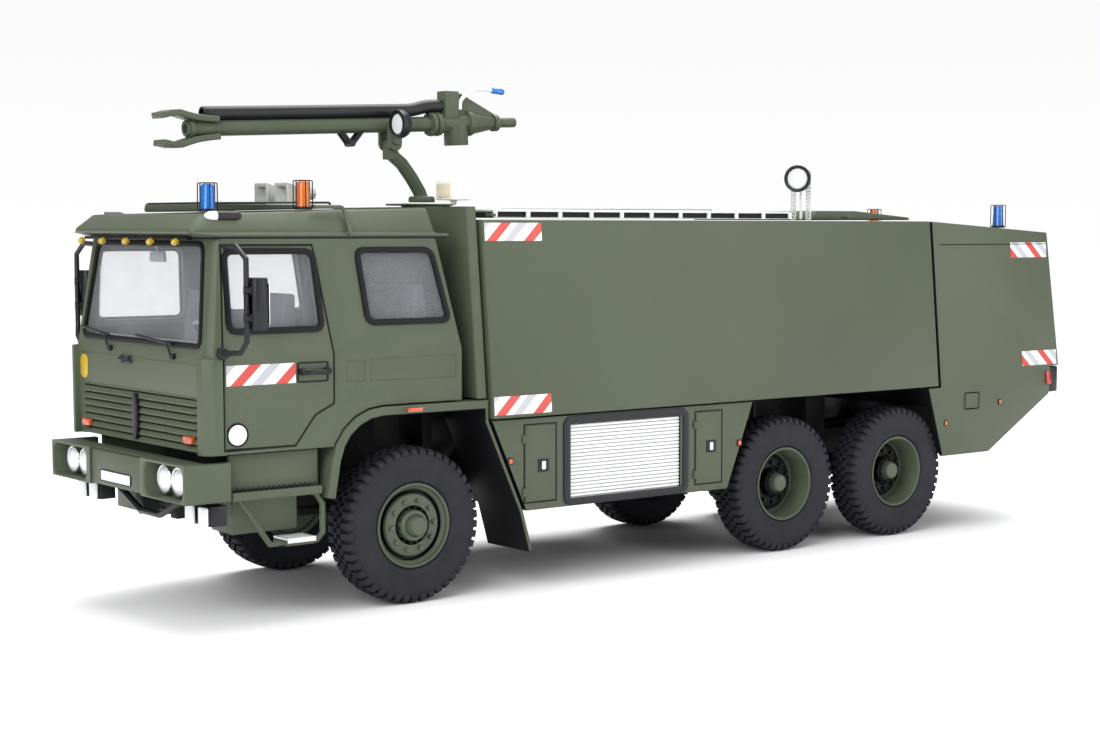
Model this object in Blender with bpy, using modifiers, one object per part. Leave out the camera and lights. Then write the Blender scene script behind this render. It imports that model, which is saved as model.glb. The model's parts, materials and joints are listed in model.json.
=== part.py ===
"""Airport fire truck: a six-wheeled foam tender with a roof monitor, built as a 1:43 display model.

x points forward, y to the truck's left and z up. Every size below is in millimetres of the model,
x measured from the front axle, y from the centre line and z from the ground. Meshes are scaled to
metres as they are added, under an empty that puts the model's middle at the origin.
"""

import math

import bmesh
import bpy
from mathutils import Matrix, Vector

MM = 0.001
WELD = 0.0005
GAP = 0.3  # between pieces that lie against each other
FIT = 0.15  # round a panel or a pane that sits in its opening
ROUND_SIDES = 16
WIRE_SIDES = 8
OVER = 2.0  # how far a cutter reaches past what it cuts

# Wheels and axles
TYRE_R = 14.8
TYRE_WIDTH = 8.0
TYRE_SIDES = 20
BEAD_R = 8.4
RIM_R = 8.1
RIM_PLANE = 3.6  # the rim's edge, out from the wheel's middle
HUB_BACK = 4.4
TRACK_HALF = 22.9  # wheel middle from the centre line
WHEELBASE = 96.2
BOGIE_SPREAD = 35.6
AXLE_R = 2.2
DIFF_R = 4.5
SPRING_HALF = 14.0
SPRING_HEIGHT = 1.5

# Ends and widths
FRONT_OVERHANG = 47.6
REAR_OVERHANG = 56.5
BODY_HALF_LOW = 29.0
BODY_HALF_HIGH = 25.5
SKIRT_HALF = 28.2

# Chassis
RAIL_IN = 5.5
RAIL_OUT = 8.0
RAIL_LOW = 17.5
RAIL_HIGH = 23.5
BOLSTER_HALF = 9.0
BOLSTER_LENGTH = 6.0

# Cab
CAB_FRONT = 42.5
CAB_REAR = -10.2
CAB_HALF = 27.7
CAB_LEAN = 2.5  # how far each side leans in above the belt
CAB_FRONT_TOP = 39.9
CAB_REAR_TOP = -6.0
CAB_BOTTOM = 31.0
BELT = 47.9
CAB_TOP = 68.6
CAB_WALL = 1.2
CAB_CORNER_R = 1.8
SHUT_LINE = 0.35
SHUT_DEPTH = 0.45
GLASS_DEPTH = 0.45
GLASS = 0.6
WINDOW_R = 1.5
FLOOR = 1.4
FLOOR_REAR = 38.4
FLOOR_STEP_X = 18.6
GRILLE_EDGE = 4.1  # in from the cab's side
GRILLE_TOP = 40.6
SCREEN_LOW = 50.2
SCREEN_HEAD = 1.2  # under the cab's top
PILLAR_LOW = 3.9
PILLAR_HIGH = 4.0

# Cab roof
RAIL_PROUD = 0.2  # past the cab's side
RAIL_THICK = 0.6
VISOR_X = 44.0
VISOR_RISE = 1.6  # heights over the cab's top
ROOF_FRONT_X = 40.9
ROOF_EDGE = 2.2
ROOF_FRONT_RISE = 4.3
ROOF_REAR_RISE = 5.6
ROOF_WALL = 1.2

# Front arch: its top, the corner it turns and where the lip ends in front
ARCH_Z = 37.7
ARCH_CORNER_X = 16.7
ARCH_R = 11.0
ARCH_END = (19.5, 21.7)
ARCH_BACK = -16.2
LINER_TOP_Z = 33.6
LINER_FOOT = (-24.2, 15.7)
FLAP_FOOT = (-26.5, 7.5)
GUARD_IN = 14.0
GUARD_PROUD = 0.3
GUARD_SHEET = 0.9
LIP_WIDTH = 1.5
LIP_SHEET = 1.7

# Bumper and lamps
BUMPER_HALF = 27.8
BUMPER_LOW = 22.8
BUMPER_HIGH = 29.7
BUMPER_BACK = 42.9
BUMPER_WING = 38.6
BUMPER_WALL = 0.8
POCKET_WIDTH = 15.6
POCKET_DEPTH = 3.2
POCKET_LIP = 0.45
PANEL_EDGE = 17.5  # these three are in from the bumper's end
PANEL_SHEET = 0.9
HEADLAMPS = (11.3, 5.9)
HEADLAMP_Z = 26.25
HEADLAMP_R = 2.7
FOG_Y = (20.0, 25.0)
FOG_SIZE = 3.6

# Tank, lockers and tail
BULKHEAD_X = (-15.7, -13.5)
BULKHEAD_LOW = 38.0
BULKHEAD_RISE = 2.5  # over the tank's top, as the other heights on the roof are
BULKHEAD_HALF = (28.0, 24.5)
TANK_FRONT = -16.6
TANK_LOW = 33.9
TANK_HIGH = 72.1
TANK_PAST_AXLE = 11.4  # how far the tank runs behind the rear axle
LOCKER_LOW = 15.5
LOCKER_CLEAR_LOW = 3.7  # in front of the middle tyre
LOCKER_CLEAR_HIGH = -3.6
CHANNEL_HALF = 10.0
SHUTTER_LOW = 16.3
SHUTTER_HIGH = 31.8
SHUTTER_FRONT = 19.3  # behind the tank's front
SHUTTER_REAR = 31.7  # in front of the middle axle
SHUTTER_DEPTH = 1.4
TAIL_GAP = 0.7
TAIL_LOW = 17.4
TAIL_FALL = 2.6
TAIL_REAR_TOP_X = 3.0  # in front of the bumper's back
TAIL_REAR_X = 1.2
TAIL_KNEE = (4.9, 30.2)
TAIL_TOE = 26.5
TAIL_SKIN = 1.1
WELL_CLEAR = 2.5

# Monitor: swivel axis, tilt axis, and the barrel's two ends
SWIVEL_X = -19.6
SWIVEL_RISE = 3.9
TILT_AT = (7.4, 11.2)  # from the swivel
MUZZLE_AT = (52.0, 12.7)
BREECH_AT = (-2.8, 15.38)
BARREL_R = 1.5
FLANGE_R = 2.45
ARM_R = 1.35
HOSE_R = 1.2
CHEEK_IN = 1.3
CHEEK_OUT = 2.1

# Mirrors
MIRROR_ARM = 6.7  # out from the cab's side
MIRROR_REACH = 8.3
MIRROR_WIDTH = 3.6
MIRROR_X = (35.2, 38.2)
MIRROR_Z = (53.0, 62.0)

# More sizes of single pieces
AXLE_HEIGHT = 14.8  # the height that every z here is drawn for; a larger tyre lifts the whole truck
SINK = 0.4  # how far joined shapes run into each other
LEAST_R = 0.4
DIFF_STEPS = 6
HUB_R = 3.0
RAILS_FRONT = 39.3
RAILS_TAIL = 34.0  # behind the rear axle
IRON_TOP = 27.0
FRONT_CROSS = 34.0
CROSS_BEHIND = (9.4, 43.4)  # behind the tank's front
BOGIE_CROSS = (15.8, 53.8)  # behind the middle axle
CROSS_LENGTH = 3.0
CROSS_SINK = 1.2
FRONT_BOLSTER = 26.0
REAR_BOLSTER = -8.0
FLOOR_LOW = 31.4
DOOR = [(17.5, 38.8), (21.5, 36.9), (25.6, 31.6), (40.0, 31.6), (40.0, 47.9), (38.9, 67.6), (20.5, 67.6),
        (17.5, 47.9)]
DOOR_WINDOW = [(19.9, 52.5), (38.2, 52.5), (38.2, 66.2), (21.0, 66.2)]
REAR_WINDOW = [(-7.5, 53.4), (9.9, 53.4), (11.4, 66.3), (-4.4, 66.3)]
PRESSINGS = (
    [(11.2, 42.6), (15.0, 42.6), (15.0, 46.4), (11.2, 46.4)],
    [(-8.9, 42.4), (10.0, 42.6), (10.0, 46.6), (-8.9, 46.8)],
)
PRESSING_DEPTH = 0.25
GLAZING = [(-7.0, 51.4), (39.0, 51.4), (38.0, 67.3), (-3.6, 67.3)]
GLAZING_DEEP = 2.9
DEFLECTOR = [(39.4, -0.5), (39.4, 0.3), (41.8, 0.3), (43.5, -0.9), (43.8, -2.5), (42.3, -2.5), (42.3, -0.5)]
SEAT_Y = (7.5, 19.0)
FRONT_SEAT = [(22.0, 32.4), (29.5, 32.4), (31.0, 40.4), (30.4, 42.6), (24.6, 42.2), (22.8, 58.6),
              (20.4, 58.4), (20.8, 42.0)]
BENCH_CLEAR = 6.7
REAR_BENCH = [(-7.4, 39.2), (3.4, 39.2), (4.4, 46.4), (-3.4, 46.8), (-4.2, 60.0), (-6.2, 60.0), (-8.0, 46.8)]
DASH = [(40.9, 42.0), (40.9, 48.6), (39.6, 50.4), (35.4, 48.8), (34.8, 44.2), (37.0, 42.0)]
WHEEL_HUB = (33.6, 13.2, 51.0)
WHEEL_RAKE = math.radians(55)
WHEEL_R = 4.4
WHEEL_GRIP = 0.4
COLUMN = 3.6
RAIL_REACH = 3.0
VISOR_LIP = 2.4
ROOF_R = 2.0
HATCH_X = (8.0, 35.0)
HATCH_HALF = 12.0
HATCH_RISE = 6.2
UNDERRUN_X = 40.6
UNDERRUN_R = 0.7
STEP_INSET = 0.2
STEP_X = (20.3, 38.2)
STEP_Z = 24.2
STEP_SHEET = 1.5
STEP_DEPTH = 5.5
STEP_BOX = 8.0
FOOT_Z = 13.7
STRUT_R = 0.6
MIRROR_TUBE_R = 0.55
LINER_CLEAR = 0.6
TAIL_FRONT_LOW = 13.7  # behind the rear axle
TAIL_FRONT_HIGH = 7.9
REAR_BUMPER_Z = (30.5, 36.7)
COVER_END = 1.0
COVER_FRONT = 21.8
COVER_RISE = 2.3
COVER_HALF = 20.0
LADDER_RISE = 2.1
LADDER_FRONT = 4.6
LADDER_PITCH = 7.9
LADDER_RUNGS = 10
LADDER_Y = (15.4, 22.6)
LADDER_SHEET = 0.8
RUNG_R = 0.4
SEARCHLIGHT_AT = (9.3, 20.0, 8.9)  # behind the middle axle, aside and over the tank
SEARCHLIGHT_AIM = (1.0, 0.5, 0.0)
LAMP_R = 2.95
BEACON_R = 1.7
BEACONS = (
    ("beacon_front_blue", (38.4, 20.0, 5.2), "blue"),
    ("beacon_front_amber", (19.3, 20.0, 5.4), "amber"),
    ("beacon_rear_blue", (-172.0, 21.5, 5.6), "blue"),
    ("beacon_rear_amber", (-174.0, -21.5, 5.0), "amber"),
)
HORN_AT = (14.7, 2.2)
HORN_Y = 3.9
FLOODLIGHT_AT = (-14.6, 18.7, 1.2)
LIP_PLATE = 0.5
LEVER_R = 0.45
LAMP_ALONG = 10.8

MIDDLE_AXLE = -WHEELBASE
REAR_AXLE = -WHEELBASE - BOGIE_SPREAD
REAR_END = REAR_AXLE - REAR_OVERHANG
TANK_REAR = REAR_AXLE - TANK_PAST_AXLE
RAILS_REAR = REAR_AXLE - RAILS_TAIL
DATUM_X = -(FRONT_OVERHANG + REAR_END) / 2
CAB_HALF_TOP = CAB_HALF - CAB_LEAN
GRILLE_HALF = CAB_HALF - GRILLE_EDGE
SCREEN_HIGH = CAB_TOP - SCREEN_HEAD
RAIL_HALF = CAB_HALF_TOP + RAIL_PROUD
VISOR_Z = CAB_TOP + VISOR_RISE
ROOF_HALF = CAB_HALF_TOP - ROOF_EDGE
ROOF_FRONT_Z = CAB_TOP + ROOF_FRONT_RISE
ROOF_REAR_Z = CAB_TOP + ROOF_REAR_RISE
HATCH_TOP = CAB_TOP + HATCH_RISE
GUARD_OUT = CAB_HALF + GUARD_PROUD
STEP_OUT = CAB_HALF - STEP_INSET
MIRROR_Y = CAB_HALF + MIRROR_ARM
MIRROR_OUT = CAB_HALF + MIRROR_REACH
PANEL_HALF = BUMPER_HALF - PANEL_EDGE
POCKET_IN = BUMPER_HALF - POCKET_WIDTH
BULKHEAD_Z = (BULKHEAD_LOW, TANK_HIGH + BULKHEAD_RISE)
TAIL_REAR_TOP_Z = TANK_HIGH - TAIL_FALL
SWIVEL_Z = TANK_HIGH + SWIVEL_RISE
TILT = (SWIVEL_X + TILT_AT[0], SWIVEL_Z + TILT_AT[1])
MUZZLE = (SWIVEL_X + MUZZLE_AT[0], SWIVEL_Z + MUZZLE_AT[1])
BREECH = (SWIVEL_X + BREECH_AT[0], SWIVEL_Z + BREECH_AT[1])
SIDES = {"left": 1, "right": -1}

VIEWS = {  # columns: where an outline's first and second numbers and its thickness point
    "plan": Matrix(((1, 0, 0, 0), (0, 1, 0, 0), (0, 0, 1, 0), (0, 0, 0, 1))),
    "side": Matrix(((1, 0, 0, 0), (0, 0, 1, 0), (0, 1, 0, 0), (0, 0, 0, 1))),
    "front": Matrix(((0, 0, 1, 0), (1, 0, 0, 0), (0, 1, 0, 0), (0, 0, 0, 1))),
}


# Scene

def clear_scene():
    for obj in list(bpy.data.objects):
        bpy.data.objects.remove(obj, do_unlink=True)


def new_collection(name):
    collection = bpy.data.collections.new(name)
    bpy.context.scene.collection.children.link(collection)
    return collection


def pivot(name, place, parent=None):
    """An empty at a place in truck coordinates, on a joint's axis or at the datum."""
    obj = bpy.data.objects.new(name, None)
    obj.empty_display_size = 5 * MM
    obj["place"] = place
    obj.parent = parent
    obj.location = (Vector(place) - Vector(parent["place"] if parent else (0, 0, 0))) * MM
    PARTS.objects.link(obj)
    return obj


def finish(name, colour, roughness, metallic=0.0, alpha=1.0):
    material = bpy.data.materials.new(name)
    material.use_nodes = True
    shader = material.node_tree.nodes["Principled BSDF"]
    shader.inputs["Base Color"].default_value = (*colour, 1)
    shader.inputs["Roughness"].default_value = roughness
    shader.inputs["Metallic"].default_value = metallic
    shader.inputs["Alpha"].default_value = alpha
    return material


def add(name, mesh, material, parent=None):
    """Adds a mesh given in truck coordinates as a named part, its origin at its parent's."""
    obj = bpy.data.objects.new(name, mesh)
    own = material.copy()
    own.name = name
    mesh.materials.clear()
    mesh.materials.append(own)
    obj.parent = parent or DATUM
    mesh.transform(Matrix.Scale(MM, 4) @ Matrix.Translation(-Vector(obj.parent["place"])))
    mesh.shade_smooth()
    mesh.set_sharp_from_angle(angle=math.radians(30))
    PARTS.objects.link(obj)
    return obj


# Shapes, all in truck coordinates

def cleaned(mesh, turn=None):
    bm = bmesh.new()
    bm.from_mesh(mesh)
    if turn is not None:
        bm.transform(turn)
    bmesh.ops.remove_doubles(bm, verts=bm.verts, dist=WELD)
    bmesh.ops.dissolve_degenerate(bm, edges=bm.edges, dist=WELD)
    bmesh.ops.recalc_face_normals(bm, faces=bm.faces)
    bm.to_mesh(mesh)
    bm.free()
    return mesh


def evaluated(helper):
    """The mesh that an object's curve or modifiers make; the object itself goes."""
    bpy.context.scene.collection.objects.link(helper)
    bpy.context.view_layer.update()
    graph = bpy.context.evaluated_depsgraph_get()
    mesh = bpy.data.meshes.new_from_object(helper.evaluated_get(graph))
    bpy.data.objects.remove(helper)
    return mesh


def block(low, high):
    bm = bmesh.new()
    middle = (Vector(low) + Vector(high)) / 2
    size = Vector(high) - Vector(low)
    bmesh.ops.create_cube(bm, size=1, matrix=Matrix.Translation(middle) @ Matrix.Diagonal((*size, 1)))
    mesh = bpy.data.meshes.new("block")
    bm.to_mesh(mesh)
    bm.free()
    return mesh


def prism(view, outline, low, high):
    """A flat outline in one of the three views, as thick as from low to high."""
    curve = bpy.data.curves.new("outline", "CURVE")
    curve.dimensions = "2D"
    curve.fill_mode = "BOTH"
    curve.extrude = (high - low) / 2
    spline = curve.splines.new("POLY")
    spline.points.add(len(outline) - 1)
    for point, (across, up) in zip(spline.points, outline):
        point.co = (across, up, 0, 1)
    spline.use_cyclic_u = True
    mesh = evaluated(bpy.data.objects.new("outline", curve))
    lift = Matrix.Translation((0, 0, (low + high) / 2))
    return cleaned(mesh, VIEWS[view] @ lift)


def rounded(outline, radius, steps=3, corners=None):
    """The outline with arcs at its corners, or only at those numbered in corners."""
    points = [Vector(point) for point in outline]
    result = []
    for i, corner in enumerate(points):
        if corners is not None and i not in corners:
            result.append(tuple(corner))
            continue
        back = (points[i - 1] - corner).normalized()
        ahead = (points[(i + 1) % len(points)] - corner).normalized()
        half = back.angle(ahead) / 2
        reach = radius / math.tan(half)
        centre = corner + (back + ahead).normalized() * radius / math.sin(half)
        start = corner + back * reach - centre
        turn = start.angle_signed(corner + ahead * reach - centre)
        for step in range(steps + 1):
            arm = start.copy()
            arm.rotate(Matrix.Rotation(-turn * step / steps, 2))
            result.append(tuple(centre + arm))
    return result


def inset(outline, distance):
    """The outline with every side moved inwards."""
    points = [Vector(point) for point in outline]
    count = len(points)
    area = sum(a.x * b.y - b.x * a.y for a, b in zip(points, points[1:] + points[:1]))
    turn = math.copysign(1, area)
    moved = []
    for i, corner in enumerate(points):
        back = (corner - points[i - 1]).normalized()
        ahead = (points[(i + 1) % count] - corner).normalized()
        inward = Vector((-back.y - ahead.y, back.x + ahead.x)).normalized() * turn
        moved.append(tuple(corner + inward * distance / math.cos(back.angle(ahead) / 2)))
    return moved


def band(path, thickness):
    """The outline of a strip along an open path, its sheet on the path's right-hand side."""
    points = [Vector(point) for point in path]
    inner = []
    for i, point in enumerate(points):
        back = (point - points[i - 1]).normalized() if i else (points[1] - point).normalized()
        ahead = (points[i + 1] - point).normalized() if i + 1 < len(points) else back
        right = Vector((back.y + ahead.y, -back.x - ahead.x)).normalized()
        inner.append(tuple(point + right * thickness / math.cos(back.angle(ahead) / 2)))
    return [tuple(point) for point in points] + inner[::-1]


def stacked(outline, sections):
    """A plan outline drawn up through sections (z, rear, front, half width), stretched to fit each."""
    rear_most = min(x for x, y in outline)
    length = max(x for x, y in outline) - rear_most
    widest = max(y for x, y in outline)
    last = len(sections) - 1
    bm = bmesh.new()
    bm.from_mesh(prism("plan", outline, 0, last))
    for level in range(1, last):
        geometry = bm.verts[:] + bm.edges[:] + bm.faces[:]
        bmesh.ops.bisect_plane(bm, geom=geometry, plane_co=(0, 0, level), plane_no=(0, 0, 1))
    for vert in bm.verts:
        z, rear, front, half = sections[round(vert.co.z)]
        along = (vert.co.x - rear_most) / length
        vert.co = (rear + (front - rear) * along, half * vert.co.y / widest, z)
    mesh = bpy.data.meshes.new("stack")
    bm.to_mesh(mesh)
    bm.free()
    return cleaned(mesh)


def turned(profile, place, along, sides=ROUND_SIDES, ring=False):
    """A profile of (radius, height) turned about the direction `along`, its height 0 at `place`."""
    bm = bmesh.new()
    verts = [bm.verts.new((radius, 0, height)) for radius, height in profile]
    for first, second in zip(verts, verts[1:] + verts[:1] if ring else verts[1:]):
        bm.edges.new((first, second))
    mesh = bpy.data.meshes.new("profile")
    bm.to_mesh(mesh)
    bm.free()
    helper = bpy.data.objects.new("profile", mesh)
    screw = helper.modifiers.new("screw", "SCREW")
    screw.steps = screw.render_steps = sides
    screw.use_merge_vertices = True
    screw.merge_threshold = WELD / 10
    aim = Vector(along).to_track_quat("Z", "Y").to_matrix().to_4x4()
    return cleaned(evaluated(helper), Matrix.Translation(place) @ aim)


def rod(start, end, radius, sides=WIRE_SIDES):
    length = (Vector(end) - Vector(start)).length
    profile = [(0, length), (radius, length), (radius, 0), (0, 0)]
    return turned(profile, start, Vector(end) - Vector(start), sides)


def tube(points, radius):
    curve = bpy.data.curves.new("tube", "CURVE")
    curve.dimensions = "3D"
    curve.bevel_depth = radius
    curve.bevel_resolution = 1
    curve.use_fill_caps = True
    spline = curve.splines.new("POLY")
    spline.points.add(len(points) - 1)
    for point, place in zip(spline.points, points):
        point.co = (*place, 1)
    return cleaned(evaluated(bpy.data.objects.new("tube", curve)))


def carve(mesh, keep=(), cut=(), join=()):
    """The mesh after Booleans: first joined with some shapes, then kept inside some, then cut by others."""
    helper = bpy.data.objects.new("carved", mesh)
    used = []
    for operation, shapes in (("UNION", join), ("INTERSECT", keep), ("DIFFERENCE", cut)):
        for shape in shapes:
            tool = bpy.data.objects.new("tool", shape)
            tool.hide_render = True
            tool.display_type = "WIRE"
            TOOLS.objects.link(tool)
            used.append(tool)
            boolean = helper.modifiers.new(operation.lower(), "BOOLEAN")
            boolean.operation = operation
            boolean.solver = "EXACT"
            boolean.object = tool
    result = cleaned(evaluated(helper))
    for tool in used:
        bpy.data.objects.remove(tool)
    return result


def on_side(mesh, side):
    """A shape modelled on the left, or its mirror image on the right."""
    return mesh if side > 0 else cleaned(mesh, Matrix.Diagonal((1, -1, 1, 1)))


def both_sides(mesh):
    copy = mesh.copy()
    return [mesh, cleaned(copy, Matrix.Diagonal((1, -1, 1, 1)))]


def between(first, second, at):
    """The value at a place on the line through two (place, value) points."""
    return first[1] + (second[1] - first[1]) * (at - first[0]) / (second[0] - first[0])


def box_outline(across, up):
    return [(across[0], up[0]), (across[1], up[0]), (across[1], up[1]), (across[0], up[1])]


# Chassis, axles and wheels

def chassis_frame():
    rail = block((RAILS_REAR, RAIL_IN, RAIL_LOW), (RAILS_FRONT, RAIL_OUT, RAIL_HIGH))
    dumb_iron = block(
        (RAILS_FRONT - BOLSTER_LENGTH, RAIL_IN + SINK, RAIL_HIGH - SINK),
        (BUMPER_BACK - GAP, RAIL_OUT - SINK, IRON_TOP),
    )
    joined = [*both_sides(dumb_iron), *both_sides(rail)[1:]]
    behind = [TANK_FRONT - run for run in CROSS_BEHIND] + [MIDDLE_AXLE - run for run in BOGIE_CROSS]
    for x in (FRONT_CROSS, *behind):
        low = (x, -RAIL_IN - CROSS_SINK, RAIL_LOW + CROSS_SINK)
        joined.append(block(low, (x + CROSS_LENGTH, RAIL_IN + CROSS_SINK, RAIL_HIGH - CROSS_SINK)))
    carried = (
        (FRONT_BOLSTER, FLOOR_LOW),
        (REAR_BOLSTER, FLOOR_REAR),
        (BULKHEAD_X[0], BULKHEAD_Z[0]),
        (MIDDLE_AXLE - BOLSTER_LENGTH, TANK_LOW),
        (REAR_AXLE + BOLSTER_LENGTH, TANK_LOW),
    )
    for x, top in carried:
        low = (x, -BOLSTER_HALF, RAIL_HIGH - SINK)
        length = BULKHEAD_X[1] - x if x == BULKHEAD_X[0] else BOLSTER_LENGTH
        joined.append(block(low, (x + length, BOLSTER_HALF, top - GAP)))
    return carve(rail, join=joined)


def axle_shapes(x):
    half = TRACK_HALF - HUB_BACK - GAP
    arc = [math.pi * step / DIFF_STEPS for step in range(DIFF_STEPS + 1)]
    ball = [(DIFF_R * math.sin(angle), DIFF_R * math.cos(angle)) for angle in arc]
    beam = rod((x, -half, AXLE_HEIGHT), (x, half, AXLE_HEIGHT), AXLE_R, DIFF_STEPS * 2)
    return beam, turned(ball, (x, 0, AXLE_HEIGHT), (0, 0, 1), DIFF_STEPS * 2)


def spring(rear, front):
    top = RAIL_LOW - GAP
    return both_sides(block((rear, RAIL_IN + SINK, top - SPRING_HEIGHT), (front, RAIL_OUT - SINK, top)))


def front_axle():
    beam, differential = axle_shapes(0)
    return carve(beam, join=[differential, *spring(-SPRING_HALF, SPRING_HALF)])


def rear_bogie():
    beam, differential = axle_shapes(MIDDLE_AXLE)
    others = [differential, *axle_shapes(REAR_AXLE)]
    return carve(beam, join=others + spring(REAR_AXLE - AXLE_R, MIDDLE_AXLE + AXLE_R))


def tyre(place, side):
    half = TYRE_WIDTH / 2
    wall = [
        (BEAD_R, half - 0.7),
        (BEAD_R + 1.2, half),
        (TYRE_R - 2.6, half),
        (TYRE_R - 1.0, half - 0.4),
        (TYRE_R, half - 1.6),
    ]
    profile = wall + [(radius, -height) for radius, height in reversed(wall)]
    return turned(profile, place, (0, side, 0), TYRE_SIDES, ring=True)


def rim(place, side, dished):
    """A disc wheel: nearly flush with a long hub in front, deeply dished at the back."""
    if dished:
        face = [(0, 2.5), (1.7, 2.5), (1.8, 1.2), (2.9, 1.0), (3.3, -1.4), (RIM_R - 1.5, -1.2)]
    else:
        face = [(0, 5.6), (1.6, 5.6), (1.8, 5.2), (2.1, 4.1), (3.2, 3.9), (3.4, 3.3), (5.7, 3.3)]
        face += [(RIM_R - 2.0, 2.5), (RIM_R - 1.4, 2.6)]
    edge = [(RIM_R - 0.8, RIM_PLANE), (RIM_R, RIM_PLANE), (RIM_R, -RIM_PLANE), (RIM_R - 0.8, -RIM_PLANE)]
    back = [(RIM_R - 1.0, -2.6), (HUB_R, -2.6), (HUB_R, -HUB_BACK), (0, -HUB_BACK)]
    return turned(face + edge + back, place, (0, side, 0), TYRE_SIDES)


def add_wheels():
    for axle, x in (("front", 0), ("middle", MIDDLE_AXLE), ("rear", REAR_AXLE)):
        for word, side in SIDES.items():
            place = (x, side * TRACK_HALF, AXLE_HEIGHT)
            hub = pivot(f"{axle}_{word}_hub", place, DATUM)
            add(f"{axle}_{word}_tyre", tyre(place, side), RUBBER, hub)
            add(f"{axle}_{word}_rim", rim(place, side, axle != "front"), GREEN, hub)


# Cab

def cab_at(z, wall):
    """Height, rear, front and half width of the cab, that far inside its skin."""
    low, high = BELT, CAB_TOP
    at = max(z, BELT)
    rear = between((low, CAB_REAR), (high, CAB_REAR_TOP), at) + wall
    front = between((low, CAB_FRONT), (high, CAB_FRONT_TOP), at) - wall
    return z, rear, front, between((low, CAB_HALF), (high, CAB_HALF_TOP), at) - wall


def cab_form(wall=0.0, low=CAB_BOTTOM, high=CAB_TOP):
    outline = box_outline((CAB_REAR + wall, CAB_FRONT - wall), (wall - CAB_HALF, CAB_HALF - wall))
    outline = rounded(outline, max(CAB_CORNER_R - wall, LEAST_R), corners=(1, 2))
    return stacked(outline, [cab_at(z, wall) for z in (low, BELT, high)])


def hollow(wall):
    return cab_form(wall, CAB_BOTTOM - OVER, CAB_TOP + OVER)


def side_cutter(outline):
    """A window or a line through both sides of the cab."""
    return prism("side", outline, -CAB_HALF - OVER, CAB_HALF + OVER)


def door_window():
    return rounded(DOOR_WINDOW, WINDOW_R)


def rear_window():
    return rounded(REAR_WINDOW, WINDOW_R)


def screen_opening():
    low, high = CAB_HALF - PILLAR_LOW, CAB_HALF_TOP - PILLAR_HIGH
    corners = [(-low, SCREEN_LOW), (low, SCREEN_LOW), (high, SCREEN_HIGH), (-high, SCREEN_HIGH)]
    return rounded(corners, WINDOW_R)


def arch_path():
    """The arch's outer line, from its rear end to its front one."""
    path = [(ARCH_BACK, ARCH_Z), (ARCH_CORNER_X, ARCH_Z), ARCH_END]
    return rounded(path, ARCH_R, steps=5, corners=(1,))


def arch_cutter():
    low = ARCH_END[1] - OVER
    outline = [(CAB_REAR - OVER, low), (CAB_REAR - OVER, ARCH_Z), *arch_path()[1:], (ARCH_END[0], low)]
    return side_cutter(inset(outline, -GAP))


def cab_shell():
    grooves = []
    for outline in (DOOR, *PRESSINGS):
        inner = side_cutter(inset(outline, SHUT_LINE)) if outline is DOOR else None
        groove = carve(side_cutter(outline), cut=[hollow(SHUT_DEPTH if inner else PRESSING_DEPTH)])
        grooves.append(carve(groove, cut=[inner]) if inner else groove)
    grille = prism("front", box_outline((-GRILLE_HALF, GRILLE_HALF), (CAB_BOTTOM - OVER, GRILLE_TOP)),
                   CAB_FRONT - CAB_WALL - OVER, CAB_FRONT + OVER)
    screen = prism("front", screen_opening(), CAB_FRONT_TOP - CAB_WALL - OVER, CAB_FRONT + OVER)
    openings = [side_cutter(door_window()), side_cutter(rear_window()), screen, grille]
    deflector = prism("plan", [(x, CAB_HALF + out) for x, out in DEFLECTOR], CAB_BOTTOM, BELT)
    return carve(
        cab_form(),
        join=both_sides(deflector),
        cut=[hollow(CAB_WALL), arch_cutter(), *openings, *grooves],
    )


def windscreen():
    pane = prism("front", inset(screen_opening(), FIT), CAB_FRONT_TOP - OVER * 2, CAB_FRONT + OVER)
    return carve(pane, keep=[hollow(GLASS_DEPTH)], cut=[hollow(GLASS_DEPTH + GLASS)])


def glazing(side):
    """One moulding behind both windows of a side, standing out to fill each opening."""
    back = CAB_WALL + GAP
    sheet = prism("side", GLAZING, CAB_HALF_TOP - GLAZING_DEEP, CAB_HALF)
    sheet = carve(sheet, keep=[hollow(back)], cut=[hollow(back + GLASS)])
    panes = [
        carve(
            prism("side", inset(window, FIT), CAB_HALF_TOP - GLAZING_DEEP, CAB_HALF),
            keep=[hollow(GLASS_DEPTH)],
            cut=[hollow(back + GLASS / 2)],
        )
        for window in (door_window(), rear_window())
    ]
    return on_side(carve(sheet, join=panes), side)


def cab_interior():
    half = CAB_HALF - CAB_WALL - GAP
    front = CAB_FRONT - CAB_WALL - GAP
    rear = CAB_REAR + CAB_WALL + GAP
    low, high = FLOOR_LOW, FLOOR_REAR
    step = FLOOR_STEP_X
    outline = [
        (front, low), (front, low + FLOOR), (step + FLOOR, low + FLOOR), (step + FLOOR, high + FLOOR),
        (rear, high + FLOOR), (rear, high), (step, high), (step, low),
    ]
    seats = [
        prism("side", FRONT_SEAT, -SEAT_Y[1], -SEAT_Y[0]),
        prism("side", FRONT_SEAT, SEAT_Y[0], SEAT_Y[1]),
        prism("side", REAR_BENCH, BENCH_CLEAR - CAB_HALF, CAB_HALF - BENCH_CLEAR),
    ]
    return carve(prism("side", outline, -half, half), join=seats)


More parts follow.
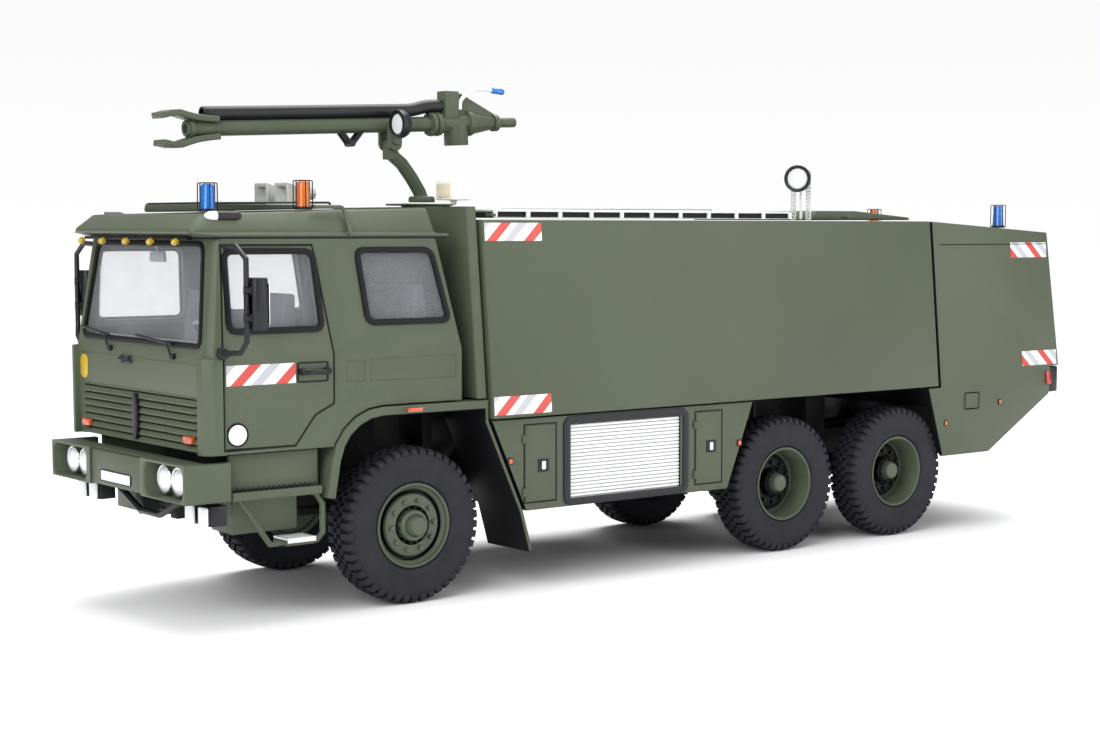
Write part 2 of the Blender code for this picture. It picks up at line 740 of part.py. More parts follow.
def dashboard():
    half = CAB_HALF - CAB_WALL - 2 * GAP - GLASS - SINK
    desk = prism("side", DASH, -half, half)
    hub = Vector((*WHEEL_HUB,))
    axis = Vector((-math.cos(WHEEL_RAKE), 0, math.sin(WHEEL_RAKE)))
    ring = [
        (WHEEL_R + WHEEL_GRIP * math.cos(turn), WHEEL_GRIP * math.sin(turn))
        for turn in (math.tau * step / 6 for step in range(6))
    ]
    wheel = turned(ring, hub, axis, ROUND_SIDES, ring=True)
    spoke = rod(hub - Vector((0, WHEEL_R, 0)), hub + Vector((0, WHEEL_R, 0)), WHEEL_GRIP)
    column = rod(hub - axis * COLUMN, hub + axis * WHEEL_GRIP, WHEEL_GRIP * 2)
    return carve(desk, join=[column, spoke, wheel])


def grille_panel():
    outline = box_outline((FIT - GRILLE_HALF, GRILLE_HALF - FIT), (CAB_BOTTOM + FIT, GRILLE_TOP - FIT))
    return prism("front", outline, CAB_FRONT - CAB_WALL, CAB_FRONT + SINK)


def roof_z(x):
    return between((ROOF_FRONT_X, ROOF_FRONT_Z), (CAB_REAR_TOP, ROOF_REAR_Z), x)


def cab_roof():
    low = CAB_TOP + GAP
    rail_top = low + RAIL_THICK
    lean = (VISOR_Z - ROOF_FRONT_Z, RAIL_HALF - SINK * 2 - ROOF_HALF)
    peak = ROOF_REAR_Z + OVER
    rear = CAB_REAR_TOP - RAIL_REACH
    sections = [
        (low, rear, VISOR_X - VISOR_LIP, RAIL_HALF),
        (rail_top, rear, VISOR_X, RAIL_HALF),
        (rail_top, CAB_REAR_TOP - SINK, VISOR_X, RAIL_HALF - SINK * 2),
        (VISOR_Z, CAB_REAR_TOP, VISOR_X, RAIL_HALF - SINK * 2),
        (
            peak,
            CAB_REAR_TOP,
            between((VISOR_Z, VISOR_X), (ROOF_FRONT_Z, ROOF_FRONT_X), peak),
            RAIL_HALF - SINK * 2 - (peak - VISOR_Z) * lean[1] / -lean[0],
        ),
    ]
    outline = rounded(box_outline((0, VISOR_X), (-RAIL_HALF, RAIL_HALF)), ROOF_R, corners=(1, 2))
    rear_end, front_end = CAB_REAR - OVER, VISOR_X + OVER
    top = [(rear_end, low - OVER), (front_end, low - OVER), (front_end, roof_z(front_end)),
           (rear_end, roof_z(rear_end))]
    ceiling = [
        (z, CAB_REAR_TOP + ROOF_WALL, CAB_FRONT_TOP - ROOF_WALL * 2, half - ROOF_WALL)
        for z, half in ((low - OVER, CAB_HALF_TOP), (ROOF_FRONT_Z - ROOF_WALL, ROOF_HALF))
    ]
    return carve(
        stacked(outline, sections),
        keep=[side_cutter(top)],
        cut=[stacked(box_outline((0, 1), (-1, 1)), ceiling)],
    )


def roof_hatch():
    rear, front = HATCH_X
    outline = [(rear, roof_z(rear) + GAP), (front, roof_z(front) + GAP),
               (front, HATCH_TOP), (rear, HATCH_TOP)]
    return prism("side", outline, -HATCH_HALF, HATCH_HALF)


# Front end

def front_bumper():
    outline = box_outline((BUMPER_WING, FRONT_OVERHANG), (-BUMPER_HALF, BUMPER_HALF))
    bar = prism("plan", outline, BUMPER_LOW, BUMPER_HIGH)
    behind = block(
        (BUMPER_WING - OVER, BUMPER_WALL * 2 - BUMPER_HALF, BUMPER_LOW - OVER),
        (BUMPER_BACK, BUMPER_HALF - BUMPER_WALL * 2, BUMPER_HIGH + OVER),
    )
    pocket = prism(
        "front",
        rounded(
            box_outline((POCKET_IN, BUMPER_HALF - BUMPER_WALL),
                        (BUMPER_LOW + POCKET_LIP, BUMPER_HIGH - POCKET_LIP)),
            WINDOW_R,
            steps=2,
        ),
        FRONT_OVERHANG - POCKET_DEPTH,
        FRONT_OVERHANG + OVER,
    )
    middle = block(
        (FRONT_OVERHANG - PANEL_SHEET - GAP * 2, -PANEL_HALF - FIT, BUMPER_LOW - OVER),
        (FRONT_OVERHANG + OVER, PANEL_HALF + FIT, BUMPER_HIGH + OVER),
    )
    return carve(bar, cut=[behind, *both_sides(pocket), middle])


def bumper_panel():
    front = FRONT_OVERHANG - GAP
    return block((front - PANEL_SHEET, -PANEL_HALF, BUMPER_LOW + GAP), (front, PANEL_HALF, BUMPER_HIGH - GAP))


def headlamps(side):
    floor = FRONT_OVERHANG - POCKET_DEPTH + GAP
    reach = HEADLAMP_R - SINK
    inner, outer = (BUMPER_HALF - place for place in HEADLAMPS)
    plate = block(
        (floor, inner - reach, HEADLAMP_Z - reach), (floor + SINK * 2, outer + reach, HEADLAMP_Z + reach)
    )
    profile = [(0, 1.7), (1.7, 1.5), (HEADLAMP_R - 0.2, 1.0), (HEADLAMP_R, 0.8), (HEADLAMP_R, 0.1), (0, 0.1)]
    lamps = [turned(profile, (floor, y, HEADLAMP_Z), (1, 0, 0)) for y in (inner, outer)]
    return on_side(carve(plate, join=lamps), side)


def underrun_bar():
    """The carrier of the fog lamps, with the bar that hangs in a shallow V between them."""
    top = BUMPER_LOW - GAP
    beam = block((UNDERRUN_X - 0.6, -FOG_Y[1], top - 0.8), (UNDERRUN_X + 0.6, FOG_Y[1], top))
    joined = []
    for y in (*FOG_Y, *(-y for y in FOG_Y)):
        half = FOG_SIZE / 2
        low = top - SINK - FOG_SIZE
        joined.append(block((UNDERRUN_X - 1.6, y - half, low), (UNDERRUN_X + 1.6, y + half, low + FOG_SIZE)))
    hang = [(UNDERRUN_X, y, z) for y, z in ((-14, top - 0.6), (-4, 18), (4, 18), (14, top - 0.6))]
    return carve(beam, join=[*joined, tube(hang, UNDERRUN_R)])


def front_mudguard(side):
    """Lip, liner and mud flap in one strip, the lip thicker at its outer edge."""
    strip = [FLAP_FOOT, LINER_FOOT, (ARCH_BACK, LINER_TOP_Z), *arch_path()]
    sheet = prism("side", band(strip, GUARD_SHEET), GUARD_IN, GUARD_OUT)
    lip = prism("side", band(arch_path(), LIP_SHEET), GUARD_OUT - LIP_WIDTH, GUARD_OUT)
    return on_side(carve(sheet, join=[lip]), side)


def cab_step(side):
    out = STEP_OUT
    rear, front = STEP_X
    sill = block((rear, out - 2.3, STEP_Z - SINK), (front, out - 1.5, CAB_BOTTOM - GAP))
    tread = block((rear, out - STEP_DEPTH, STEP_Z - STEP_SHEET), (front, out, STEP_Z))
    tank = block((rear + 3, out - 12, STEP_Z - STEP_BOX), (front - 2, out - 4, STEP_Z - SINK))
    foot = block((rear + 1.4, out - STEP_DEPTH, FOOT_Z), (rear + 7, out - SINK, FOOT_Z + 0.8))
    y = out - 1.6
    path = [(front - 1.5, y, STEP_Z - 0.8), (front - 8, y, FOOT_Z + 0.5), (rear + 4, y, FOOT_Z + 0.4),
            (rear + 0.4, y, FOOT_Z + 0.4), (rear - 0.9, y, FOOT_Z + 1.7), (rear - 0.9, y, FOOT_Z + 7),
            (rear + 0.9, y, STEP_Z - 0.8)]
    return on_side(carve(tread, join=[sill, tank, foot, tube(path, STRUT_R)]), side)


def mirror(side):
    x = MIRROR_X[1] + STRUT_R
    path = [
        (CAB_FRONT_TOP - 1.5, CAB_HALF_TOP + 0.6, CAB_TOP - 1.4),
        (x, MIRROR_Y - 3.5, CAB_TOP - 1.2),
        (x, MIRROR_Y, CAB_TOP - 3.4),
        (x, MIRROR_Y, BELT + 3.2),
        (x + 0.6, MIRROR_Y - 1.2, BELT + 1.2),
        (x + 1.6, CAB_HALF + 0.7, BELT + 0.9),
    ]
    plan = box_outline(MIRROR_X, (MIRROR_OUT - MIRROR_WIDTH, MIRROR_OUT))
    shell = prism("plan", rounded(plan, 0.9), *MIRROR_Z)
    foot = rod((x + 1.6, CAB_HALF + 0.3, BELT + 0.9), (x + 1.6, CAB_HALF + 1.6, BELT + 0.9), 1.1)
    clips = [
        block((MIRROR_X[1] - SINK, MIRROR_Y - 0.6, z), (x + SINK, MIRROR_Y + 0.6, z + 1.2))
        for z in (MIRROR_Z[0] + 1.5, MIRROR_Z[1] - 2.7)
    ]
    return on_side(carve(tube(path, MIRROR_TUBE_R), join=[shell, foot, *clips]), side)


# Tank, lockers and tail

def bulkhead():
    outline = box_outline(BULKHEAD_X, (-1, 1))
    sections = [(z, *BULKHEAD_X, half) for z, half in zip(BULKHEAD_Z, BULKHEAD_HALF)]
    return stacked(outline, sections)


def body_half(z):
    return between((TANK_LOW, BODY_HALF_LOW), (TANK_HIGH, BODY_HALF_HIGH), z)


def tank_body():
    outline = box_outline((0, 1), (-1, 1))
    return stacked(outline, [(z, TANK_REAR, TANK_FRONT, body_half(z)) for z in (TANK_LOW, TANK_HIGH)])


def shutter_opening():
    return box_outline((MIDDLE_AXLE + SHUTTER_REAR, TANK_FRONT - SHUTTER_FRONT), (SHUTTER_LOW, SHUTTER_HIGH))


def locker_body():
    top = TANK_LOW - GAP
    slope = (LINER_FOOT[0] - ARCH_BACK) / (LINER_TOP_Z - LINER_FOOT[1])
    front_low = ARCH_BACK - LINER_CLEAR + slope * (LINER_TOP_Z - LOCKER_LOW)
    outline = [
        (front_low, LOCKER_LOW),
        (ARCH_BACK - LINER_CLEAR, top),
        (MIDDLE_AXLE + TYRE_R + LOCKER_CLEAR_HIGH, top),
        (MIDDLE_AXLE + TYRE_R + LOCKER_CLEAR_LOW, LOCKER_LOW),
    ]
    channel = block(
        (MIDDLE_AXLE, -CHANNEL_HALF, LOCKER_LOW - OVER), (ARCH_BACK + OVER, CHANNEL_HALF, RAIL_HIGH + GAP)
    )
    recess = prism("side", shutter_opening(), SKIRT_HALF - SHUTTER_DEPTH, SKIRT_HALF + OVER)
    return carve(prism("side", outline, -SKIRT_HALF, SKIRT_HALF), cut=[channel, *both_sides(recess)])


def shutter(side):
    outline = inset(shutter_opening(), FIT)
    inner = SKIRT_HALF - SHUTTER_DEPTH + FIT
    return on_side(prism("side", outline, inner, SKIRT_HALF - GAP), side)


def tail_top(x):
    rear = REAR_END + TAIL_REAR_TOP_X
    return between((TANK_REAR, TANK_HIGH), (rear, TAIL_REAR_TOP_Z), x)


def tail_body():
    front = TANK_REAR - TAIL_GAP
    rear = REAR_END + TAIL_REAR_X
    knee = REAR_END + TAIL_KNEE[0]
    outline = [
        (front, TANK_LOW - GAP),
        (front, tail_top(front)),
        (REAR_END + TAIL_REAR_TOP_X, TAIL_REAR_TOP_Z),
        (rear, REAR_BUMPER_Z[1] + GAP),
        (knee - SINK, REAR_BUMPER_Z[1] + GAP),
        (knee, TAIL_KNEE[1]),
        (REAR_END + TAIL_TOE, TAIL_LOW),
        (REAR_AXLE - TAIL_FRONT_LOW, TAIL_LOW),
        (REAR_AXLE - TAIL_FRONT_HIGH, TANK_LOW - GAP),
    ]
    low, high = TAIL_LOW - OVER, TANK_HIGH + OVER
    sections = [(z, REAR_END, MIDDLE_AXLE, half) for z, half in (
        (low, SKIRT_HALF), (TANK_LOW, BODY_HALF_LOW), (high, body_half(high)))]
    well_half = SKIRT_HALF - TAIL_SKIN
    well = rod((REAR_AXLE, -well_half, AXLE_HEIGHT), (REAR_AXLE, well_half, AXLE_HEIGHT),
               TYRE_R + WELL_CLEAR, TYRE_SIDES * 2)
    channel = block(
        (RAILS_REAR - GAP, -CHANNEL_HALF, TAIL_LOW - OVER), (REAR_AXLE, CHANNEL_HALF, RAIL_HIGH + GAP)
    )
    return carve(
        prism("side", outline, -BODY_HALF_LOW - OVER, BODY_HALF_LOW + OVER),
        keep=[stacked(box_outline((0, 1), (-1, 1)), sections)],
        cut=[well, channel],
    )


def rear_bumper():
    x = (REAR_END, REAR_END + TAIL_KNEE[0] - SINK - GAP)
    outline = box_outline(x, (-SKIRT_HALF, SKIRT_HALF))
    return prism("plan", rounded(outline, 1.5, steps=2, corners=(0, 3)), *REAR_BUMPER_Z)


# On the roofs

def roof_cover():
    low = TANK_HIGH + GAP
    rear, front = TANK_REAR + COVER_END, REAR_AXLE + COVER_FRONT
    high = TANK_HIGH + COVER_RISE
    outline = [(rear, low), (front, low), (front - 2, high), (rear + 18, high), (rear, low + 0.6)]
    return prism("side", outline, -COVER_HALF, COVER_HALF)


def roof_ladder():
    low, high = TANK_HIGH + GAP, TANK_HIGH + LADDER_RISE
    front = TANK_FRONT - LADDER_FRONT
    rear = front - LADDER_PITCH * LADDER_RUNGS
    rails = [block((rear, y, low), (front, y + LADDER_SHEET, high)) for y in LADDER_Y]
    rungs = []
    for number in range(LADDER_RUNGS):
        x = front - LADDER_PITCH * (number + 0.5)
        z = (low + high) / 2
        rungs.append(rod((x, LADDER_Y[0] + SINK, z), (x, LADDER_Y[1] + SINK, z), RUNG_R, 6))
    return carve(rails[0], join=[*rungs, rails[1]])


def roof_searchlight():
    x, y, z = MIDDLE_AXLE - SEARCHLIGHT_AT[0], SEARCHLIGHT_AT[1], TANK_HIGH + SEARCHLIGHT_AT[2]
    low = TANK_HIGH + GAP
    base = block((x - 3, y - 3, low), (x + 3, y + 3, low + 1.6))
    post = rod((x, y, low + 1), (x, y, z - LAMP_R + SINK * 2), 0.7)
    strips = [block((x - 0.9 + side * 1.6, y - 2.6, low + 1), (x - 0.5 + side * 1.6, y - 1.2, z))
              for side in (-1, 1)]
    drum = [(0, 1.3), (LAMP_R - 0.4, 1.3), (LAMP_R, 1.1), (LAMP_R, 0.2), (LAMP_R - 1, -1.2), (0, -1.4)]
    lamp = turned(drum, (x, y, z), SEARCHLIGHT_AIM)
    return carve(base, join=[post, *strips, lamp])


def beacon(x, y, z, height):
    r = BEACON_R
    profile = [(0, height), (r - 0.7, height), (r - 0.2, height - 0.6),
               (r, 0.9), (r + 0.2, 0.7), (r + 0.2, 0), (0, 0)]
    return turned(profile, (x, y, z + GAP), (0, 0, 1), ROUND_SIDES)


def air_horns():
    x, z = HORN_AT[0], HATCH_TOP + HORN_AT[1]
    low = HATCH_TOP + GAP
    base = block((x - 4.6, -HORN_Y - 0.6, low), (x - 3, HORN_Y + 0.6, low + SINK * 2))
    joined = []
    for y in (-HORN_Y, HORN_Y):
        joined.append(rod((x - 3.8, y, HATCH_TOP + GAP), (x - 3.8, y, z), 0.5))
        for reach, width, height, work in ((0, 2.5, 2, joined), (1, 2, 1.5, None)):
            plan = [(x - 5 + reach * 2, y - 0.8), (x + reach, y - width),
                    (x + reach, y + width), (x - 5 + reach * 2, y + 0.8)]
            elevation = [(x - 5 + reach * 2, z - 0.8), (x + reach, z - height), (x + reach, z + height),
                         (x - 5 + reach * 2, z + 0.8)]
            bell = carve(prism("plan", plan, z - height, z + height),
                         keep=[prism("side", elevation, y - width, y + width)])
            if work is None:
                joined[-1] = carve(joined[-1], cut=[bell])
            else:
                work.append(bell)
        joined.append(rod((x - 7, y, z), (x - 4.6, y, z), 1.2))
    return carve(base, join=joined)


def floodlight():
    x, y, z = *FLOODLIGHT_AT[:2], BULKHEAD_Z[1] + FLOODLIGHT_AT[2]
    case = block((x - 2.2, y - 3, z), (x + 2.2, y + 3, z + 4))
    post = rod((x, y, BULKHEAD_Z[1] + GAP), (x, y, z + SINK), 0.6)
    return carve(case, join=[post])


# Monitor

def monitor_base():
    back, front = SWIVEL_X - 5, BULKHEAD_X[1]
    plate = block((back, -4, BULKHEAD_Z[1] + GAP), (front, 4, SWIVEL_Z - SINK - GAP))
    foot = block((back, -3, TANK_HIGH + GAP), (TANK_FRONT, 3, BULKHEAD_Z[1] + GAP + SINK))
    return carve(plate, join=[foot])


def monitor_arm():
    x, z = TILT
    profile = [(0, 1.2), (2.4, 1.2), (2.7, 0.8), (2.7, 0), (0, 0)]
    collar = turned(profile, (SWIVEL_X, 0, SWIVEL_Z - SINK), (0, 0, 1))
    bend = tube([(SWIVEL_X, 0, SWIVEL_Z + 0.3), (SWIVEL_X + 0.5, 0, SWIVEL_Z + 1.6),
                 (SWIVEL_X + 2.4, 0, SWIVEL_Z + 4.4),
                 (SWIVEL_X + 4.7, 0, SWIVEL_Z + 7.2), (x - 0.8, 0, z - 2.6), (x - 0.4, 0, z - 1.9)], ARM_R)
    tongue_outline = rounded(box_outline((x - 1.2, x + 1.2), (z - 3.2, z + 1.0)), 1.1, corners=(2, 3))
    tongue = prism("side", tongue_outline, -1, 1)
    return carve(bend, join=[collar, tongue])


def barrel_line():
    """Unit vectors along the barrel towards the muzzle and square to it upwards, and its length."""
    run = Vector((MUZZLE[0] - BREECH[0], 0, MUZZLE[1] - BREECH[1]))
    along = run.normalized()
    return along, Vector((-along.z, 0, along.x)), run.length


def on_barrel(distance, above=0.0, y=0.0):
    along, up, _ = barrel_line()
    return Vector((BREECH[0], y, BREECH[1])) + along * distance + up * above


def monitor_barrel():
    along, _, length = barrel_line()
    bore = BARREL_R - 0.6
    profile = [(0, length - 4), (bore, length - 4), (bore, length), (BARREL_R, length), (BARREL_R, 1),
               (FLANGE_R, 1), (FLANGE_R, 0), (0, 0)]
    x, z = TILT
    cheek = prism("side", rounded(box_outline((x - 1.5, x + 1.5), (z - 1.5, z + 3.4)), 1.4, corners=(0, 1)),
                  CHEEK_IN, CHEEK_OUT)
    lips = []
    for turn in (1, -1):
        points = [(length - 5.5, 1.3), (length - 1, 1.5), (length + 1.5, 2.9), (length + 5.5, 2.0)]
        places = [on_barrel(distance, turn * above) for distance, above in points]
        path = [(place.x, place.z) for place in places]
        lips.append(prism("side", band(path, -turn * LIP_PLATE), -BARREL_R, BARREL_R))
    return carve(turned(profile, on_barrel(0), along), join=[*both_sides(cheek), *lips])


def foam_tube():
    _, _, length = barrel_line()
    above = BARREL_R + GAP + HOSE_R
    over = FLANGE_R + GAP + HOSE_R
    path = [(length - 7, above), (length / 2, above), (4, above), (2, over), (-1.2, over)]
    return tube([on_barrel(*point) for point in path], HOSE_R)


def monitor_elbow():
    along, _, _ = barrel_line()
    profile = [(0, 0), (FLANGE_R, 0), (FLANGE_R, 1), (1.9, 1), (1.9, 7.5), (FLANGE_R, 7.5), (FLANGE_R, 8.5),
               (2.3, 9), (1.3, 14.5), (1, 14.7), (1, 20), (0, 20)]
    pipe = turned(profile, on_barrel(-GAP), -along)
    swivel = rod(on_barrel(-5.5, -4.4), on_barrel(-5.5), 2.5, ROUND_SIDES)
    top = block(on_barrel(-5.4, 1, -1.6), on_barrel(-2.4, 6.6, 1.6))
    fin = prism("side", [(p.x, p.z) for p in (on_barrel(-14, 0.8), on_barrel(-5, 0.8), on_barrel(-5, 6.2),
                                              on_barrel(-7, 6.0), on_barrel(-15, 1.8))], -0.5, 0.5)
    return carve(pipe, join=[swivel, top, fin])


def monitor_lever():
    points = ((-6, 4.8), (-7.4, 6.4), (-11.6, 7.0), (-17, 6.2))
    return tube([on_barrel(distance, above, 1.4) for distance, above in points], LEVER_R)


def barrel_lamp():
    profile = [(0, 1.4), (2.1, 1.4), (2.4, 1.2), (2.4, -0.4), (1.5, -1.6), (0, -1.8)]
    along, _, _ = barrel_line()
    return turned(profile, on_barrel(LAMP_ALONG, 0, CHEEK_OUT + FIT * 2 + 2.4), along)


def add_monitor():
    swivel = pivot("monitor_swivel_axis", (SWIVEL_X, 0, SWIVEL_Z), DATUM)
    tilt = pivot("monitor_tilt_axis", (TILT[0], 0, TILT[1]), swivel)
    add("monitor_base", monitor_base(), GREEN)
    add("monitor_arm", monitor_arm(), GREEN, swivel)
    add("monitor_barrel", monitor_barrel(), GREEN, tilt)
    add("foam_tube", foam_tube(), BLACK, tilt)
    add("monitor_elbow", monitor_elbow(), GREEN, tilt)
    add("monitor_lever", monitor_lever(), WHITE, tilt)
    add("barrel_lamp", barrel_lamp(), BLACK, tilt)


clear_scene()
PARTS = new_collection("airport_fire_truck")
TOOLS = new_collection("cutters")
TOOLS.hide_render = True
DATUM = pivot("datum", (0, 0, 0))
DATUM.location = Vector((DATUM_X, 0, TYRE_R - AXLE_HEIGHT)) * MM

GREEN = finish("olive_paint", (0.13, 0.16, 0.105), 0.45)
DARK_GREEN = finish("dark_olive_paint", (0.06, 0.075, 0.05), 0.5)
BLACK = finish("black_plastic", (0.02, 0.02, 0.025), 0.45)
RUBBER = finish("tyre_rubber", (0.05, 0.05, 0.056), 0.8)
GREY = finish("cab_trim", (0.3, 0.3, 0.32), 0.6)
WHITE = finish("white_enamel", (0.8, 0.8, 0.78), 0.4)
SILVER = finish("silver", (0.75, 0.75, 0.74), 0.35, 0.6)
LAMP = finish("lamp_glass", (0.85, 0.86, 0.88), 0.1)
CLEAR = finish("clear_glazing", (0.7, 0.74, 0.76), 0.05, alpha=0.35)
BLUE = finish("blue_lens", (0.01, 0.09, 0.6), 0.15)
AMBER = finish("amber_lens", (0.9, 0.3, 0.03), 0.15)

add("chassis_frame", chassis_frame(), DARK_GREEN)
add("front_axle", front_axle(), DARK_GREEN)
add("rear_bogie", rear_bogie(), DARK_GREEN)
add_wheels()

add("cab_shell", cab_shell(), GREEN)
add("cab_roof", cab_roof(), GREEN)
add("roof_hatch", roof_hatch(), DARK_GREEN)
add("windscreen", windscreen(), CLEAR)
add("cab_interior", cab_interior(), GREY)
add("dashboard", dashboard(), GREY)
add("grille_panel", grille_panel(), GREEN)
add("front_bumper", front_bumper(), GREEN)
add("bumper_panel", bumper_panel(), GREEN)
add("underrun_bar", underrun_bar(), BLACK)
for word, side in SIDES.items():
    add(f"glazing_{word}", glazing(side), CLEAR)
    add(f"headlamps_{word}", headlamps(side), LAMP)
    add(f"front_mudguard_{word}", front_mudguard(side), GREEN)
    add(f"cab_step_{word}", cab_step(side), GREEN)
    add(f"mirror_{word}", mirror(side), BLACK)
    add(f"shutter_{word}", shutter(side), SILVER)

add("bulkhead", bulkhead(), DARK_GREEN)
add("tank_body", tank_body(), GREEN)
add("locker_body", locker_body(), GREEN)
add("tail_body", tail_body(), GREEN)
add("rear_bumper", rear_bumper(), BLACK)
add("roof_cover", roof_cover(), GREEN)
add("roof_ladder", roof_ladder(), SILVER)
add("roof_searchlight", roof_searchlight(), BLACK)
add("air_horns", air_horns(), GREY)
add("floodlight", floodlight(), WHITE)
for name, (x, y, height), lens in BEACONS:
    top = tail_top(x) if x < TANK_REAR else roof_z(x)
    add(name, beacon(x, y, top, height), {"blue": BLUE, "amber": AMBER}[lens])

add_monitor()
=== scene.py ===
import json
import math

import bpy
from mathutils import Matrix, Vector

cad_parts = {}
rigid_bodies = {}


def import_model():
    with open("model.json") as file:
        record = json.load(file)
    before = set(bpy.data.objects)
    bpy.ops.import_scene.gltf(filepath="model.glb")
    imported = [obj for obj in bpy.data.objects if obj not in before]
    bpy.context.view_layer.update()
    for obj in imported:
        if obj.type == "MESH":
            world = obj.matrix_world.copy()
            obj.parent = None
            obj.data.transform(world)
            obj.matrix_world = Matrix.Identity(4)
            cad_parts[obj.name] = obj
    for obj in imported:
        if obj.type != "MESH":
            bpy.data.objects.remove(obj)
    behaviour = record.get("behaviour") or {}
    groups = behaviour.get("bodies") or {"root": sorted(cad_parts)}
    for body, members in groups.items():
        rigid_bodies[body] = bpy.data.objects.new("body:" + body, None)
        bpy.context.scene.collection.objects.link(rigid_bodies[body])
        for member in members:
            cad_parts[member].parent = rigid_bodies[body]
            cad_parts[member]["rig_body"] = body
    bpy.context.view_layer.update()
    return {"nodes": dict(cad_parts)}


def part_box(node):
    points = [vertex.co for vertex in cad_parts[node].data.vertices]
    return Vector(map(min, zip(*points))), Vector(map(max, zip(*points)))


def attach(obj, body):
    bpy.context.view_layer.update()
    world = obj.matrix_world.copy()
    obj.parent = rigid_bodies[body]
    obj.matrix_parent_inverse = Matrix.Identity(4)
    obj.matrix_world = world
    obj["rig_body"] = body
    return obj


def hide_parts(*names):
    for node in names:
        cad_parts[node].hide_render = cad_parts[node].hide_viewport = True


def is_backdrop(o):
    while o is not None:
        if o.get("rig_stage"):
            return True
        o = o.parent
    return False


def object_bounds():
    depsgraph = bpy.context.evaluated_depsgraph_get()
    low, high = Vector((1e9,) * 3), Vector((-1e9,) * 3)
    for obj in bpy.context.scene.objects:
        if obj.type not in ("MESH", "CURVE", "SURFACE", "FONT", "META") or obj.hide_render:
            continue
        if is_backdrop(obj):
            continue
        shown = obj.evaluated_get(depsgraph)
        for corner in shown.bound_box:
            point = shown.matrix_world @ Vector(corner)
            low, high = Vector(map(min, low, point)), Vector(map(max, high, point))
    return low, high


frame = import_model()
nodes = frame["nodes"]
mm = 0.001
tyreLow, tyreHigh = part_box("front_left_tyre")
axleX = (tyreLow.x + tyreHigh.x) / 2
print("frame loaded")


def at(x, y, z):
    # millimetres from the front axle, the centre line and the ground
    return Vector((axleX + x * mm, y * mm, z * mm))


def spots(*places):
    return [at(*place) for place in places]


def rectangle(low, high):
    return [low, (high[0], low[1]), high, (low[0], high[1])]


def oblong(x, z, width, height):
    return rectangle((x - width / 2, z - height / 2), (x + width / 2, z + height / 2))


# camera, light and floor

view = {"place": (201.45, 334.92, 70.98), "heading": -129.368, "down": 4.55, "roll": 0.106,
        "lens": 64.43, "shift": (-0.0701, 0.0112)}
camera = bpy.data.objects.new("camera", bpy.data.cameras.new("camera"))
bpy.context.scene.collection.objects.link(camera)
camera.data.lens = view["lens"]
camera.data.shift_x, camera.data.shift_y = view["shift"]
camera.data.clip_start = 0.01
camera.matrix_world = (Matrix.Translation(at(*view["place"]))
                       @ Matrix.Rotation(math.radians(view["heading"] - 90), 4, "Z")
                       @ Matrix.Rotation(math.radians(90 - view["down"]), 4, "X")
                       @ Matrix.Rotation(math.radians(view["roll"]), 4, "Z"))
bpy.context.scene.camera = camera

studio = {"wall": (0.2, 0.2, 0.205), "ceiling": (0.46, 0.465, 0.475), "backdrop": (0.9, 0.905, 0.905),
          "horizon": (1.0, 1.0, 1.0), "fade": 4.5, "exposure": 0.0, "sun": ((-0.35, -0.3, 1.0), 2.9, 50),
          "lamps": [("overhead", (-60, -60, 520), (-50, 0, 30), 0.75, 1.6),
                    ("front window", (520, 300, 400), (-20, 10, 40), 0.5, 4.0),
                    ("side window", (-420, 520, 260), (-90, 10, 45), 0.5, 1.9)]}
world = bpy.data.worlds.new("studio")
bpy.context.scene.world = world
world.use_nodes = True
tree = world.node_tree


def blended(factor, first, second):
    # a colour mixed from two colours or sockets
    mixer = tree.nodes.new("ShaderNodeMix")
    mixer.data_type = "RGBA"
    tree.links.new(factor, mixer.inputs[0])
    for number, value in ((6, first), (7, second)):
        if isinstance(value, tuple):
            mixer.inputs[number].default_value = (*value, 1)
        else:
            tree.links.new(value, mixer.inputs[number])
    return mixer.outputs[2]


# the room lights the truck, and the camera sees paper fading up from the horizon
direction = tree.nodes.new("ShaderNodeTexCoord")
height = tree.nodes.new("ShaderNodeSeparateXYZ")
rays = tree.nodes.new("ShaderNodeLightPath")
fade = tree.nodes.new("ShaderNodeMath")
fade.operation = "MULTIPLY"
fade.inputs[1].default_value = studio["fade"]
tree.links.new(direction.outputs["Generated"], height.inputs[0])
tree.links.new(height.outputs[2], fade.inputs[0])
room = blended(height.outputs[2], studio["wall"], studio["ceiling"])
paperWall = blended(fade.outputs[0], studio["horizon"], studio["backdrop"])
seen = blended(rays.outputs["Is Camera Ray"], room, paperWall)
tree.links.new(seen, tree.nodes["Background"].inputs["Color"])
bpy.context.scene.view_settings.view_transform = "Standard"
bpy.context.scene.view_settings.exposure = studio["exposure"]
for name, place, target, size, power in studio["lamps"]:
    lamp = bpy.data.objects.new(name, bpy.data.lights.new(name, "AREA"))
    bpy.context.scene.collection.objects.link(lamp)
    lamp.data.size = size
    lamp.data.energy = power
    lamp.location = at(*place)
    lamp.rotation_euler = (at(*target) - at(*place)).to_track_quat("-Z", "Y").to_euler()
towards, strength, spread = studio["sun"]
sun = bpy.data.objects.new("skylight", bpy.data.lights.new("skylight", "SUN"))
bpy.context.scene.collection.objects.link(sun)
sun.data.energy = strength
sun.data.angle = math.radians(spread)
sun.rotation_euler = Vector(towards).to_track_quat("Z", "Y").to_euler()


# finishes

